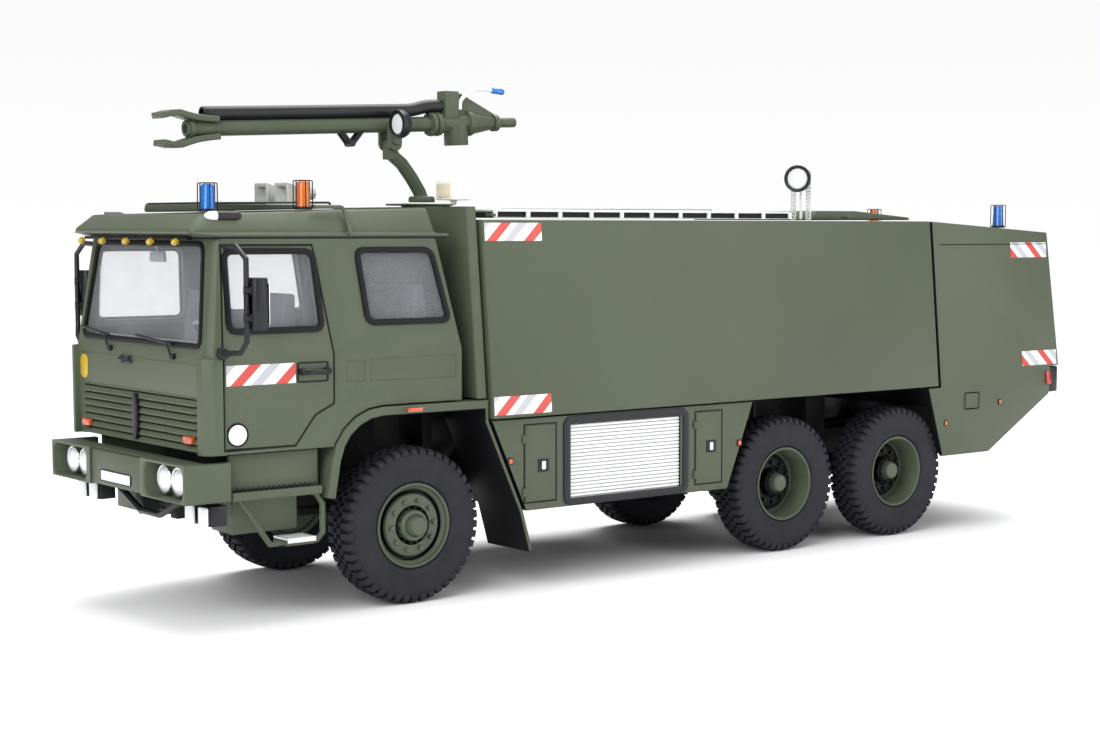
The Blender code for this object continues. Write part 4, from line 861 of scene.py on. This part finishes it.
plateOutline = rectangle((-6.2, 23.9), (6.4, 26.0))
number = plate([at(47.28, y, z) for y, z in plateOutline], outX * 0.16 * mm, 0.2)
border = frameRing([at(47.28, y, z) for y, z in plateOutline], outX * 0.24 * mm, 0.16, 0.2)
kept(number, "number_plate", "white")
kept(border, "number_plate_border", "seal")
headlamp = {"y": (16.5, 21.9), "z": 26.25, "radius": 2.62, "x": 44.75}
lens, rings = [], []
for side in (1, -1):
    for y in headlamp["y"]:
        centre, r = at(headlamp["x"], side * y, headlamp["z"]), headlamp["radius"]
        lens.append(spun([(0, 0), (0, r - 0.3), (0.8, r - 0.25), (1.3, r - 0.6), (1.62, r - 1.3), (1.78, 0)],
                         centre, outX, 48))
        rings.append(spun([(0, r - 0.3), (0, r), (1.05, r), (1.15, r - 0.1), (1.1, r - 0.32),
                           (0.8, r - 0.38)], centre, outX, 48))
kept(joined(lens), "headlamp_lenses", "lamp", slotName="lamp_glass",
     stands=("headlamps_left", "headlamps_right"))
kept(joined(rings), "headlamp_rings", "chrome")
fog = {"y": (20.0, 25.0), "x": 42.2, "z": (18.55, 21.95), "half": 1.65}
lens, hoods = [], []
for y in (*fog["y"], *(-y for y in fog["y"])):
    face = rectangle((y - fog["half"], fog["z"][0]), (y + fog["half"], fog["z"][1]))
    lens.append(softened(plate([at(fog["x"], *spot) for spot in face], outX * 0.75 * mm, 0.5), 0.25, 3))
    hoods.append(frameRing([at(fog["x"] - 0.1, *spot) for spot in face], outX * 0.5 * mm, 0.16, 0.5))
kept(joined(lens), "fog_lamp_lenses", "lamp", slotName="lamp_glass")
kept(joined(hoods), "fog_lamp_rims", "black")
print("bumper made")


# steps and mirrors

tread = {"x": (21.0, 37.6), "y": (22.6, 27.2), "z": 24.2, "teeth": 16, "bars": 15, "pitch": 1.05}
(rear, front), (inner, outer), z = tread["x"], tread["y"], tread["z"]
lattice = []
for number in range(tread["teeth"]):
    x = rear + (front - rear) * (number + 0.5) / tread["teeth"]
    for y in (inner, outer):
        tooth = spots((x - 0.45, y - 0.5, z + 0.12), (x, y, z + 0.75), (x + 0.45, y - 0.5, z + 0.12))
        lattice.append(tube(tooth, 0.15, 1))
grid = [tube(spots((x, inner, z + 0.16), (x + 0.9, outer, z + 0.16)), 0.16, 1)
        for x in (21.6 + tread["pitch"] * number for number in range(tread["bars"]))]
kept(bothSides(joined(lattice + grid)), "step_treads", "black")
foot = {"x": (21.6, 27.4), "y": (22.2, 27.3), "z": 14.72, "bars": 6, "pitch": 0.85}
(rear, front), (inner, outer), z = foot["x"], foot["y"], foot["z"]
edge = frameRing([at(x, y, z) for x, y in rectangle((rear, inner), (front, outer))], upZ * 0.35 * mm, 0.35)
under = box((rear + 0.3, inner + 0.3, z - 0.15), (front - 0.3, outer - 0.3, z + 0.05))
kept(bothSides(under), "step_pans", "seal")
steps = [foot["pitch"] * number for number in range(foot["bars"])]
slats = [tube(spots((rear + 0.3, 22.8 + step, z + 0.2), (front - 0.3, 22.8 + step, z + 0.2)), 0.13,
              1) for step in steps]
slats += [tube(spots((22.4 + step, inner + 0.2, z + 0.25), (22.4 + step, outer - 0.2, z + 0.25)), 0.13,
               1) for step in steps]
lip = softened(box((rear, outer - 0.1, z - 0.5), (front, outer + 0.12, z + 0.4)), 0.08)
kept(bothSides(joined([edge, lip, *slats])), "step_mesh", "silver")
mirrorFace = plate([at(35.05, *spot) for spot in rectangle((32.9, 53.8), (35.5, 61.2))], outX * -0.14 * mm,
                   0.5)
kept(bothSides(mirrorFace), "mirror_faces", "chrome")
inner = plate(spots((38, -3.2, 64.2), (38, 3.2, 64.2), (38, 2.8, 66.2), (38, -2.8, 66.2)), outX * 0.5 * mm,
              0.5)
softened(inner, 0.12)
stalk = tube([at(38.2, 0, 66.0), at(38.9, 0, 68.0)], 0.25)
kept(joined([inner, stalk]), "interior_mirror", "trim")
print("steps and mirrors made")


# locker doors with hinges and latches, and the shutters in their frames

locker = {"out": 28.21, "z": (16.9, 32.5), "doors": ((-32.3, -24.2), (-76.2, -68.4)), "line": 0.26,
          "gap": 0.4,
          "hinges": (19.2, 29.6), "latches": ((-28.9, 24.2), (-72.9, 24.9)), "latch": (2.7, 2.6),
          "button": (0.85, 1.6)}


def lockerPlate(outline, out, thickness, rounding=0.0):
    return plate([at(x, locker["out"] + out, z) for x, z in outline], outY * thickness * mm, rounding)


def lockerRing(outline, out, thickness, width, rounding=0.0, steps=3):
    corners = [at(x, locker["out"] + out, z) for x, z in outline]
    return frameRing(corners, outY * thickness * mm, width, rounding, steps)


lines, leaves, hinges, latches, buttons = [], [], [], [], []
(low, high), gap = locker["z"], locker["gap"]
for (rear, front), latch in zip(locker["doors"], locker["latches"]):
    lines.append(lockerRing(rectangle((rear, low), (front, high)), -0.06, 0.12, locker["line"]))
    leaf = lockerPlate(rectangle((rear + gap, low + gap), (front - gap, high - gap)), -0.05, 0.2)
    leaves.append(softened(leaf, 0.07))
    for z in locker["hinges"]:
        hinges.append(tube([at(front + 0.1, locker["out"] + 0.3, z + end) for end in (-0.8, 0.8)], 0.3))
        strap = lockerPlate(rectangle((front - 1.1, z - 0.7), (front + 0.1, z + 0.7)), 0.1, 0.2)
        hinges.append(softened(strap, 0.05))
    latches.append(softened(lockerPlate(oblong(*latch, *locker["latch"]), 0.1, 0.2, 0.2), 0.06))
    buttons.append(softened(lockerPlate(oblong(*latch, *locker["button"]), 0.25, 0.16, 0.12), 0.05))
kept(bothSides(joined(lines)), "locker_lines", "seal")
kept(bothSides(joined(leaves + hinges)), "locker_doors", "olive", slotName="olive_paint")
kept(bothSides(joined(latches)), "locker_latches", "black")
kept(bothSides(joined(buttons)), "locker_buttons", "white")

# a rib's section: its share of the rib's height, and how far out
shutter = {"frame": ((-66.6, 15.6), (-33.9, 33.4)), "x": (-64.5, -35.9), "z": (16.35, 31.7), "floor": 26.85,
           "ribs": 21, "rib": ((0.98, 0.55), (0.84, 0.86), (0.5, 0.97), (0.16, 0.86), (0.02, 0.55))}
surround = softened(lockerRing(rectangle(*shutter["frame"]), -0.1, 0.42, 1.5, 1.9, 5), 0.16, 2)
kept(bothSides(surround), "shutter_frames", "black")
(rear, front), (low, high), floorY = shutter["x"], shutter["z"], shutter["floor"]
ribHigh = (high - low) / shutter["ribs"]
slats = Shader("shutter enamel with painted crease shade", Coat_Weight=0.1)
# grey at the foot of each rib, and partly grey at its head, darken the creases between ribs: painted shade
crease = ((slats.axes()[2] / mm - low) / ribHigh).remainder()
dust = slats.noise(300, 3)
enamel = slats.mix(dust, colour(232, 233, 234), colour(242, 242, 242))
slats.set("Base Color", slats.mix((crease < 0.13) + (crease > 0.9) * 0.6, enamel, colour(150, 153, 155)))
slats.set("Roughness", dust * 0.2 + 0.35)
slats.set("Normal", slats.bump(dust, 0.2, 0.03))
for side in ("left", "right"):
    outline = [at(rear, floorY, low), at(rear, floorY, high)]
    for number in reversed(range(shutter["ribs"])):
        foot = low + number * ribHigh
        outline += [at(rear, floorY + out, foot + share * ribHigh) for share, out in shutter["rib"]]
    slatted = plate(outline, outX * (front - rear) * mm)
    bar = softened(box((rear, floorY + 0.5, low - 0.1), (front, 28.0, low + 0.75)), 0.1)
    curtain = joined([slatted, bar])
    if side == "right":
        flipped(curtain)
    kept(curtain, "shutter_slats_" + side, slats.material, slotName="silver", stands=("shutter_" + side,))

reflectors = {"locker": ((-21.0, 25.5), (-81.0, 25.0)), "tail": ((-146.0, 25.2), (-165.0, 29.2)),
              "glass": (0.85, 0.95), "cup": (1.2, 1.3)}
dots, cups = [], []
for kind in ("locker", "tail"):
    for x, z in reflectors[kind]:
        out = locker["out"] if kind == "locker" else 28.2 + 0.8 * min(1, max(0, (z - 17.4) / 16.5))
        glass = [at(px, out + 0.02, pz) for px, pz in oblong(x, z, *reflectors["glass"])]
        dots.append(softened(plate(glass, outY * 0.3 * mm, 0.1), 0.08))
        cup = [at(px, out - 0.02, pz) for px, pz in oblong(x, z, *reflectors["cup"])]
        cups.append(frameRing(cup, outY * 0.22 * mm, 0.2))
# the reflectors take the orange lens finish, whose faint glow is painted light on parts that are no lamps
kept(bothSides(joined(dots)), "side_reflectors", "orange")
kept(bothSides(joined(cups)), "reflector_cups", "darkOlive")
lipMarker = softened(box((-0.3, 28.75, 36.5), (2.9, 29.3, 37.25)), 0.12)
kept(bothSides(lipMarker), "mudguard_markers", "orange")
print("lockers made")


# tail: hatch, fascia line, lamps, and the doors with their louvres at the rear

tail = {"hatch": (-154.8, 30.0, 5.2, 4.0), "side": 29.0, "line": ((-184.9, 66.6), (-146.0, 66.6 + 0.22)),
        "sideLamp": (-182.6, 34.2, 1.5, 3.2)}
hatchLine = sideRing(oblong(*tail["hatch"]), -0.1, 0.16, 0.22, 0.3, "body")
for vertex in hatchLine.data.vertices:
    vertex.co.y = min(vertex.co.y, tail["side"] * mm)
kept(bothSides(hatchLine), "tail_hatch_lines", "darkOlive")
kept(bothSides(sidePlate(rectangle(*tail["line"]), -0.04, 0.1, 0.0, "body")), "tail_fascia_lines",
     "darkOlive")
sideLamp = softened(sidePlate(oblong(*tail["sideLamp"]), -0.05, 0.5, 0.3, "body"), 0.12)
kept(bothSides(sideLamp), "tail_side_lamps", "red")
rearLamps = {"x": -187.95, "y": 21.5, "z": 42.5, "high": 3.0, "main": (0.0, 4.0), "turn": (4.4, 3.0)}
glow, cups = [], []
for shift, wide in (rearLamps["main"], rearLamps["turn"]):
    face = oblong(rearLamps["y"] - shift, rearLamps["z"], wide, rearLamps["high"])
    glow.append(softened(plate([at(rearLamps["x"] + 0.25, *spot) for spot in face], outX * -0.5 * mm, 0.3),
                         0.15))
    cups.append(frameRing([at(rearLamps["x"] + 0.3, *spot) for spot in face], outX * -0.4 * mm, 0.18, 0.3))
for name, piece, finish in (("main", glow[0], "red"), ("turn", glow[1], "orange")):
    kept(bothSides(piece), "rear_lamps_" + name, finish)
kept(bothSides(joined(cups)), "rear_lamp_cups", "black")
rearFace = {"foot": (-188.3, 36.7), "head": (-185.3, 69.5), "door": ((1.0, 47.0), (23.0, 67.0)),
            "louvres": {"y": (4.5, 19.5), "z": (50.0, 58.0), "count": 8}}


def onRear(piece):
    # a piece built flat, laid on the leaning rear face
    (footX, footZ), (headX, headZ) = rearFace["foot"], rearFace["head"]
    for vertex in piece.data.vertices:
        vertex.co.x += (footX + (headX - footX) * (vertex.co.z / mm - footZ) / (headZ - footZ)) * mm
    return piece


doorLine = onRear(frameRing([at(0.06, *spot) for spot in rectangle(*rearFace["door"])], outX * -0.1 * mm,
                            0.28))
kept(bothSides(doorLine), "rear_door_lines", "darkOlive")
(inner, outer), (low, high), count = rearFace["louvres"].values()
step = (high - low) / count
blades = []
for number in range(count):
    face = rectangle((inner, low + step * number), (outer, low + step * (number + 0.7)))
    blade = plate([at(0.1, *spot) for spot in face], Vector((-0.35, 0, -0.2)) * mm)
    blades.append(softened(onRear(blade), 0.08))
kept(bothSides(joined(blades)), "rear_louvres", "olive")
knob = onRear(tube(bent(spots((0, 2.6, 60.4), (-0.45, 2.6, 60.6), (-0.45, 2.6, 63.2), (0, 2.6, 63.4)), 0.4),
                   0.25))
kept(bothSides(knob), "rear_door_handles", "black")
print("tail made")


# roof: lamps, rails, horns and beacons

torpedo = {"y": 23.0, "front": 40.6, "rear": 33.4, "z": 72.5, "radius": 0.95, "cap": 2.2}
length, r = torpedo["front"] - torpedo["rear"], torpedo["radius"]
start, joint = at(torpedo["rear"], torpedo["y"], torpedo["z"]), length - torpedo["cap"]
case = spun([(0, 0), (0.3, 0.55), (1.4, r), (joint, r), (joint, 0.0)], start, outX, 24)
foot = softened(box((35.6, torpedo["y"] - 0.5, 70.6), (37.6, torpedo["y"] + 0.5, 72.0)), 0.15)
kept(bothSides(joined([case, foot])), "marker_lamps", "black")
cap = spun([(joint, 0), (joint, 0.92), (length - 0.9, 0.85), (length - 0.2, 0.5), (length, 0)], start, outX,
           24)
kept(bothSides(cap), "marker_lamp_caps", "white")
bracket = bent(spots((19.0, 23.4, 74.3), (13.0, 23.4, 74.3), (12.7, 23.9, 72.6), (12.7, 26.0, 69.0)), 1.6)
kept(bothSides(tube(bracket, 0.38)), "roof_brackets", "olive", slotName="olive_paint")
railY = 12.4
rails = [tube(bent(spots((34.6, y, 73.6), (34.4, y, 74.9), (9.2, y, 75.2), (9.0, y, 74.4)), 0.8), 0.22)
         for y in (railY, -railY)]
cross = tube(bent(spots((34.0, railY, 74.9), (34.6, 11.0, 74.9), (34.6, -11.0, 74.9), (34.0, -railY, 74.9)),
                  1.5), 0.22)
kept(joined([*rails, cross]), "hatch_rails", "black")

beacons = {"front_blue": "blue", "front_amber": "amber", "rear_blue": "blue", "rear_amber": "amber"}
for name, lens in beacons.items():
    low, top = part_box("beacon_" + name)
    centre = Vector(((low.x + top.x) / 2, (low.y + top.y) / 2, low.z))
    high = (top.z - low.z) / mm
    dome = spun([(0.5, 0), (0.5, 1.4), (1.0, 1.3), (high - 0.7, 1.15), (high - 0.4, 1.0), (high - 0.3, 0)],
                centre, upZ, 28)
    kept(dome, "beacon_lens_" + name, lens, slotName=lens + "_lens", stands=("beacon_" + name,))
    core = spun([(0.55, 0), (0.55, 0.65), (high - 1.4, 0.6), (high - 1.3, 0)], centre, upZ, 16)
    kept(core, "beacon_lamp_" + name, "chrome")
    foot = spun([(0, 0), (0, 1.6), (0.45, 1.6), (0.55, 1.4), (0.55, 0)], centre, upZ, 28)
    hoop = spun([(high - 0.24, 1.0), (high - 0.24, 1.2), (high - 0.05, 1.2), (high - 0.05, 1.0)], centre, upZ,
                28)
    stay = [centre + Vector(spot) * mm for spot in
            ((1.5, 0, 0.2), (1.78, 0, 0.3), (1.76, 0, high - 0.16), (1.1, 0, high - 0.14))]
    stays = repeated(tube(bent(stay, 0.4), 0.11, 1), around(centre, "Z", 6, 0.3))
    kept(joined([foot, hoop, stays]), "beacon_cage_" + name, "black")

horn = {"y": 3.9, "z": 77.0, "mouth": (2.5, 2)}
low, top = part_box("air_horns")
wide, high = horn["mouth"]
rims = []
for y in (horn["y"], -horn["y"]):
    mouth = [Vector((top.x - 0.12 * mm, y * mm + shift * mm, horn["z"] * mm + up * mm))
             for shift, up in rectangle((-wide, -high), (wide, high))]
    rims.append(frameRing(mouth, outX * 0.1 * mm, 0.3))
kept(joined(rims), "horn_rims", "white")

low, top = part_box("floodlight")
centre = (low + top) / 2
face = [Vector((top.x - 0.1 * mm, centre.y + y * mm, centre.z + z * mm)) for y,
        z in rectangle((-2.3, -1.0), (2.3, 1.7))]
kept(softened(plate(face, outX * 0.3 * mm, 0.4), 0.1), "floodlight_lens", "pale")

low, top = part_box("roof_searchlight")
search = {"out": 3.0, "y": 20.5, "z": 81.4, "aim": (0.86, 0.5, 0), "radius": 2.95, "back": 2.1,
          "strips": ((-1, 82.4), (1, 83.2)), "apart": 1.25, "wide": 0.95, "rungs": 0.75}
centre = Vector((low.x + search["out"] * mm, search["y"] * mm, search["z"] * mm))
aim, r = Vector(search["aim"]).normalized(), search["radius"]
shell = spun([(-1.9, 0), (-1.75, 1.3), (-1.2, 2.2), (0.2, r - 0.25), (0.5, r), (1.35, r), (1.5, r - 0.2),
              (1.4, r - 0.55), (0.95, r - 0.6), (0.95, 0)], centre, aim, 40)
kept(shell, "searchlight_shell", "black", slotName="black_plastic", stands=("roof_searchlight",))
kept(spun([(0.9, 0), (0.9, r - 0.58), (1.2, r - 0.9), (1.45, 0)], centre, aim, 40), "searchlight_lens",
     "lamp")
strips = []
across = Vector((-aim.y, aim.x, 0))
for side, headZ in search["strips"]:
    inner = centre + across * side * search["apart"] * mm - aim * search["back"] * mm
    inner.z = low.z + 0.05 * mm
    outer = inner + across * side * search["wide"] * mm
    high = headZ * mm - inner.z
    rungs = int(high / (search["rungs"] * mm))
    strips += [tube([edge, edge + upZ * high], 0.14, 1) for edge in (outer, inner)]
    for number in range(rungs + 1):
        lift = upZ * (high * number / rungs)
        strips.append(tube([outer + lift, inner + lift], 0.15, 1))
        if number < rungs:
            strips.append(tube([outer + lift, inner + lift + upZ * (high / rungs)], 0.11, 1))
kept(joined(strips), "searchlight_strips", "silver")
head = centre - aim * search["back"] * mm
kept(tube([head, Vector((head.x, head.y, low.z + 0.1 * mm))], 0.3), "searchlight_post", "white")

farRail = tube(bent(spots((-53, -20, 73.0), (-53, -20, 74.7), (-116, -20, 74.9), (-116, -20, 73.6)), 1.0),
               0.22)
feet = [tube(spots((x, -20, 72.6), (x, -20, 74.7)), 0.2, 1) for x in (-68, -84, -100)]
kept(joined([farRail, *feet]), "far_roof_rail", "silver")
ladder = {"x": (-100.2, -21.2), "y": (15.6, 23.2), "z": (72.45, 74.15), "bays": 10}
(rear, front), (low, high) = ladder["x"], ladder["z"]
bay = (front - rear) / ladder["bays"]
rungs = [rear + number * bay for number in range(ladder["bays"] + 1)]
bars = []
for y in ladder["y"]:
    bars.append(softened(box((rear, y - 0.2, high - 0.5), (front, y + 0.2, high)), 0.08))
    bars.append(softened(box((rear, y - 0.2, low), (front, y + 0.2, low + 0.14)), 0.05, 1))
    bars += [box((x - 0.45, y - 0.18, low), (x + 0.45, y + 0.18, high - 0.3)) for x in rungs]
bars += [tube([at(x, y, high - 0.3) for y in ladder["y"]], 0.28) for x in rungs]
kept(joined(bars), "ladder_rails", "silver", slotName="silver", stands=("roof_ladder",))
# dark olive boards just inside the ladder's rails stand where the gaps between the rungs fall into shade:
# painted shade
shadeBoards = [box((rear + 0.3, y - 0.06, low), (front - 0.3, y + 0.06, high - 0.4))
        for y in (ladder["y"][0] + 0.4, ladder["y"][1] - 0.4)]
kept(joined(shadeBoards), "ladder_shade_boards", "darkOlive")
clips = [softened(box((x - 0.5, 22.0, 72.7), (x + 0.5, 24.2, 73.3)), 0.12) for x in (-20.2, -118.0)]
kept(joined(clips), "ladder_clips", "olive")
print("roof made")


# monitor: foam tube, lips, flange bolts, lamp and lever

muzzle, breech = at(32.4, 0, 88.7), at(-22.4, 0, 91.38)
along = (muzzle - breech).normalized()
rise = Vector((-along.z, 0, along.x))
reach = (muzzle - breech).length / mm


def onBarrel(distance, above=0.0, y=0.0):
    return breech + along * distance * mm + rise * above * mm + outY * y * mm


def gunPiece(piece, name, finish, **options):
    return kept(piece, name, finish, body="monitor_gun", **options)


foamRadius = 1.32
run = [onBarrel(*spot) for spot in ((reach - 4.4, 2.75), (reach / 2, 2.75), (5, 2.8), (1.5, 3.6),
                                    (-2.0, 3.6))]
hose = tube(bent(run, 3.0), foamRadius, 6)
tip = spun([(0, 0), (0, foamRadius), (0.9, foamRadius), (1.05, 1.22), (1.05, 0.95), (0.3, 0.9), (0.3, 0.0)],
           onBarrel(reach - 4.6, 2.75), along, 28)
gunPiece(joined([hose, tip]), "foam_tube_shell", "black", slotName="black_plastic", stands=("foam_tube",))

# each band: its place along the barrel, its steps and its section
bands = ((reach - 1.4, 36, ((0, 1.4), (0, 1.85), (0.9, 1.85), (0.9, 1.4))),
         (7.2, 36, ((0, 1.5), (0, 1.95), (1.4, 2.2), (1.4, 1.5))),
         (-15.2, 20, ((-0.5, 0.9), (-0.5, 1.75), (0.5, 1.75), (0.5, 0.9))),
         (-8.3, 36, ((-0.6, 1.9), (-0.6, 2.6), (0.4, 2.6), (0.4, 1.9))))
rings = [spun(section, onBarrel(place), along, steps) for place, steps, section in bands]
gunPiece(joined(rings), "barrel_bands", "olive", slotName="olive_paint")
flange = {"places": (0.95, -1.5, -8.9), "radius": 2.05, "bolts": 8, "bolt": (0.25, 0.26)}
half, r = flange["bolt"]
bolts = []
for place in flange["places"]:
    stud = spun([(-half, 0), (-half, r), (half, r), (half, 0)], onBarrel(place, flange["radius"]), along, 6)
    bolts.append(repeated(stud, around(onBarrel(place), along, flange["bolts"], 0.2)))
gunPiece(joined(bolts), "flange_bolts", "olive", slotName="olive_paint")
stays = [tube(bent(spots((-0.6, y, 89.3), (-2.9, y, 86.6), (-5.4, y, 89.5)), 0.6), 0.42) for y in (0.8, -0.8)]
pinLow = tube(spots((-2.9, -1.2, 86.9), (-2.9, 1.2, 86.9)), 0.62, 4)
gunPiece(joined([*stays, pinLow]), "barrel_stay", "black")
for name, side in (("left", 1), ("right", -1)):
    bolt = spun([(-0.3, 0), (-0.3, 0.8), (0.1, 0.95), (0.6, 0.7), (0.6, 0)], at(-12.2, side * 2.1, 87.6),
                outY * side, 6)
    gunPiece(bolt, "tilt_bolt_" + name, "olive")

low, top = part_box("barrel_lamp")
centre = (low + top) / 2 + outY * 0.4 * mm
r = (top.z - low.z) / mm / 2 + 0.4
case = spun([(-1.6, 0), (-1.5, 1.2), (-0.6, r - 0.4), (0.3, r), (1.3, r), (1.45, r - 0.3), (1.4, r - 0.7),
             (1.0, r - 0.75), (1.0, 0)], centre, along, 36)
gunPiece(case, "barrel_lamp_shell", "black", slotName="black_plastic", stands=("barrel_lamp",))
gunPiece(spun([(0.95, 0), (0.95, r - 0.7), (1.25, r - 1.0), (1.45, 0)], centre, along, 36),
         "barrel_lamp_lens", "lamp")
leverY = 1.4
rod = [onBarrel(*spot, leverY) for spot in ((-5.8, 2.8), (-6.0, 4.6), (-8.4, 6.6), (-11.4, 6.95),
                                            (-14.2, 6.55))]
gunPiece(tube(bent(rod, 1.5), 0.4, 4), "lever_rod", "white", slotName="white_enamel",
         stands=("monitor_lever",), smooth=60)
gripStart, gripEnd = onBarrel(-13.8, 6.6, leverY), onBarrel(-17.0, 6.15, leverY)
grip = spun([(0, 0), (0, 0.5), (0.2, 0.62), (2.8, 0.62), (3.1, 0.45), (3.15, 0)], gripStart,
            gripEnd - gripStart, 20)
# the grip takes the blue lens finish, whose faint glow is painted light on a part that is no lamp
gunPiece(grip, "lever_grip", "blue")


def ribbon(points, thickness, half):
    # a bent strip of plate across the truck
    above, below = [], []
    for number, point in enumerate(points):
        run = points[min(number + 1, len(points) - 1)] - points[max(number - 1, 0)]
        side = Vector((-run.z, 0, run.x)).normalized() * thickness / 2 * mm
        above.append(point + side - outY * half * mm)
        below.append(point - side - outY * half * mm)
    return softened(plate(above + below[::-1], outY * half * 2 * mm), 0.2, 2)


lips = {"path": ((-6.2, 1.6), (-4.0, 1.75), (-1.6, 2.05), (0.2, 2.5), (1.7, 2.95), (3.4, 2.9), (4.6, 2.6),
                 (5.5, 2.45)), "thick": 1.15, "half": 2.2}
for name, turn in (("upper", 1), ("lower", -1)):
    path = [onBarrel(reach + distance, turn * above) for distance, above in lips["path"]]
    lip = ribbon(path, lips["thick"], lips["half"])
    gunPiece(lip, "muzzle_lip_" + name, "olive", slotName="olive_paint", smooth=45)
print("monitor made")


# CAD parts that still show are painted, and the bounds of what shows are measured

for node in nodes.values():
    if not node.hide_render:
        node.data.materials.clear()
        node.data.materials.append(finishes["olive"])
low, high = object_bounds()
print("pieces finished")
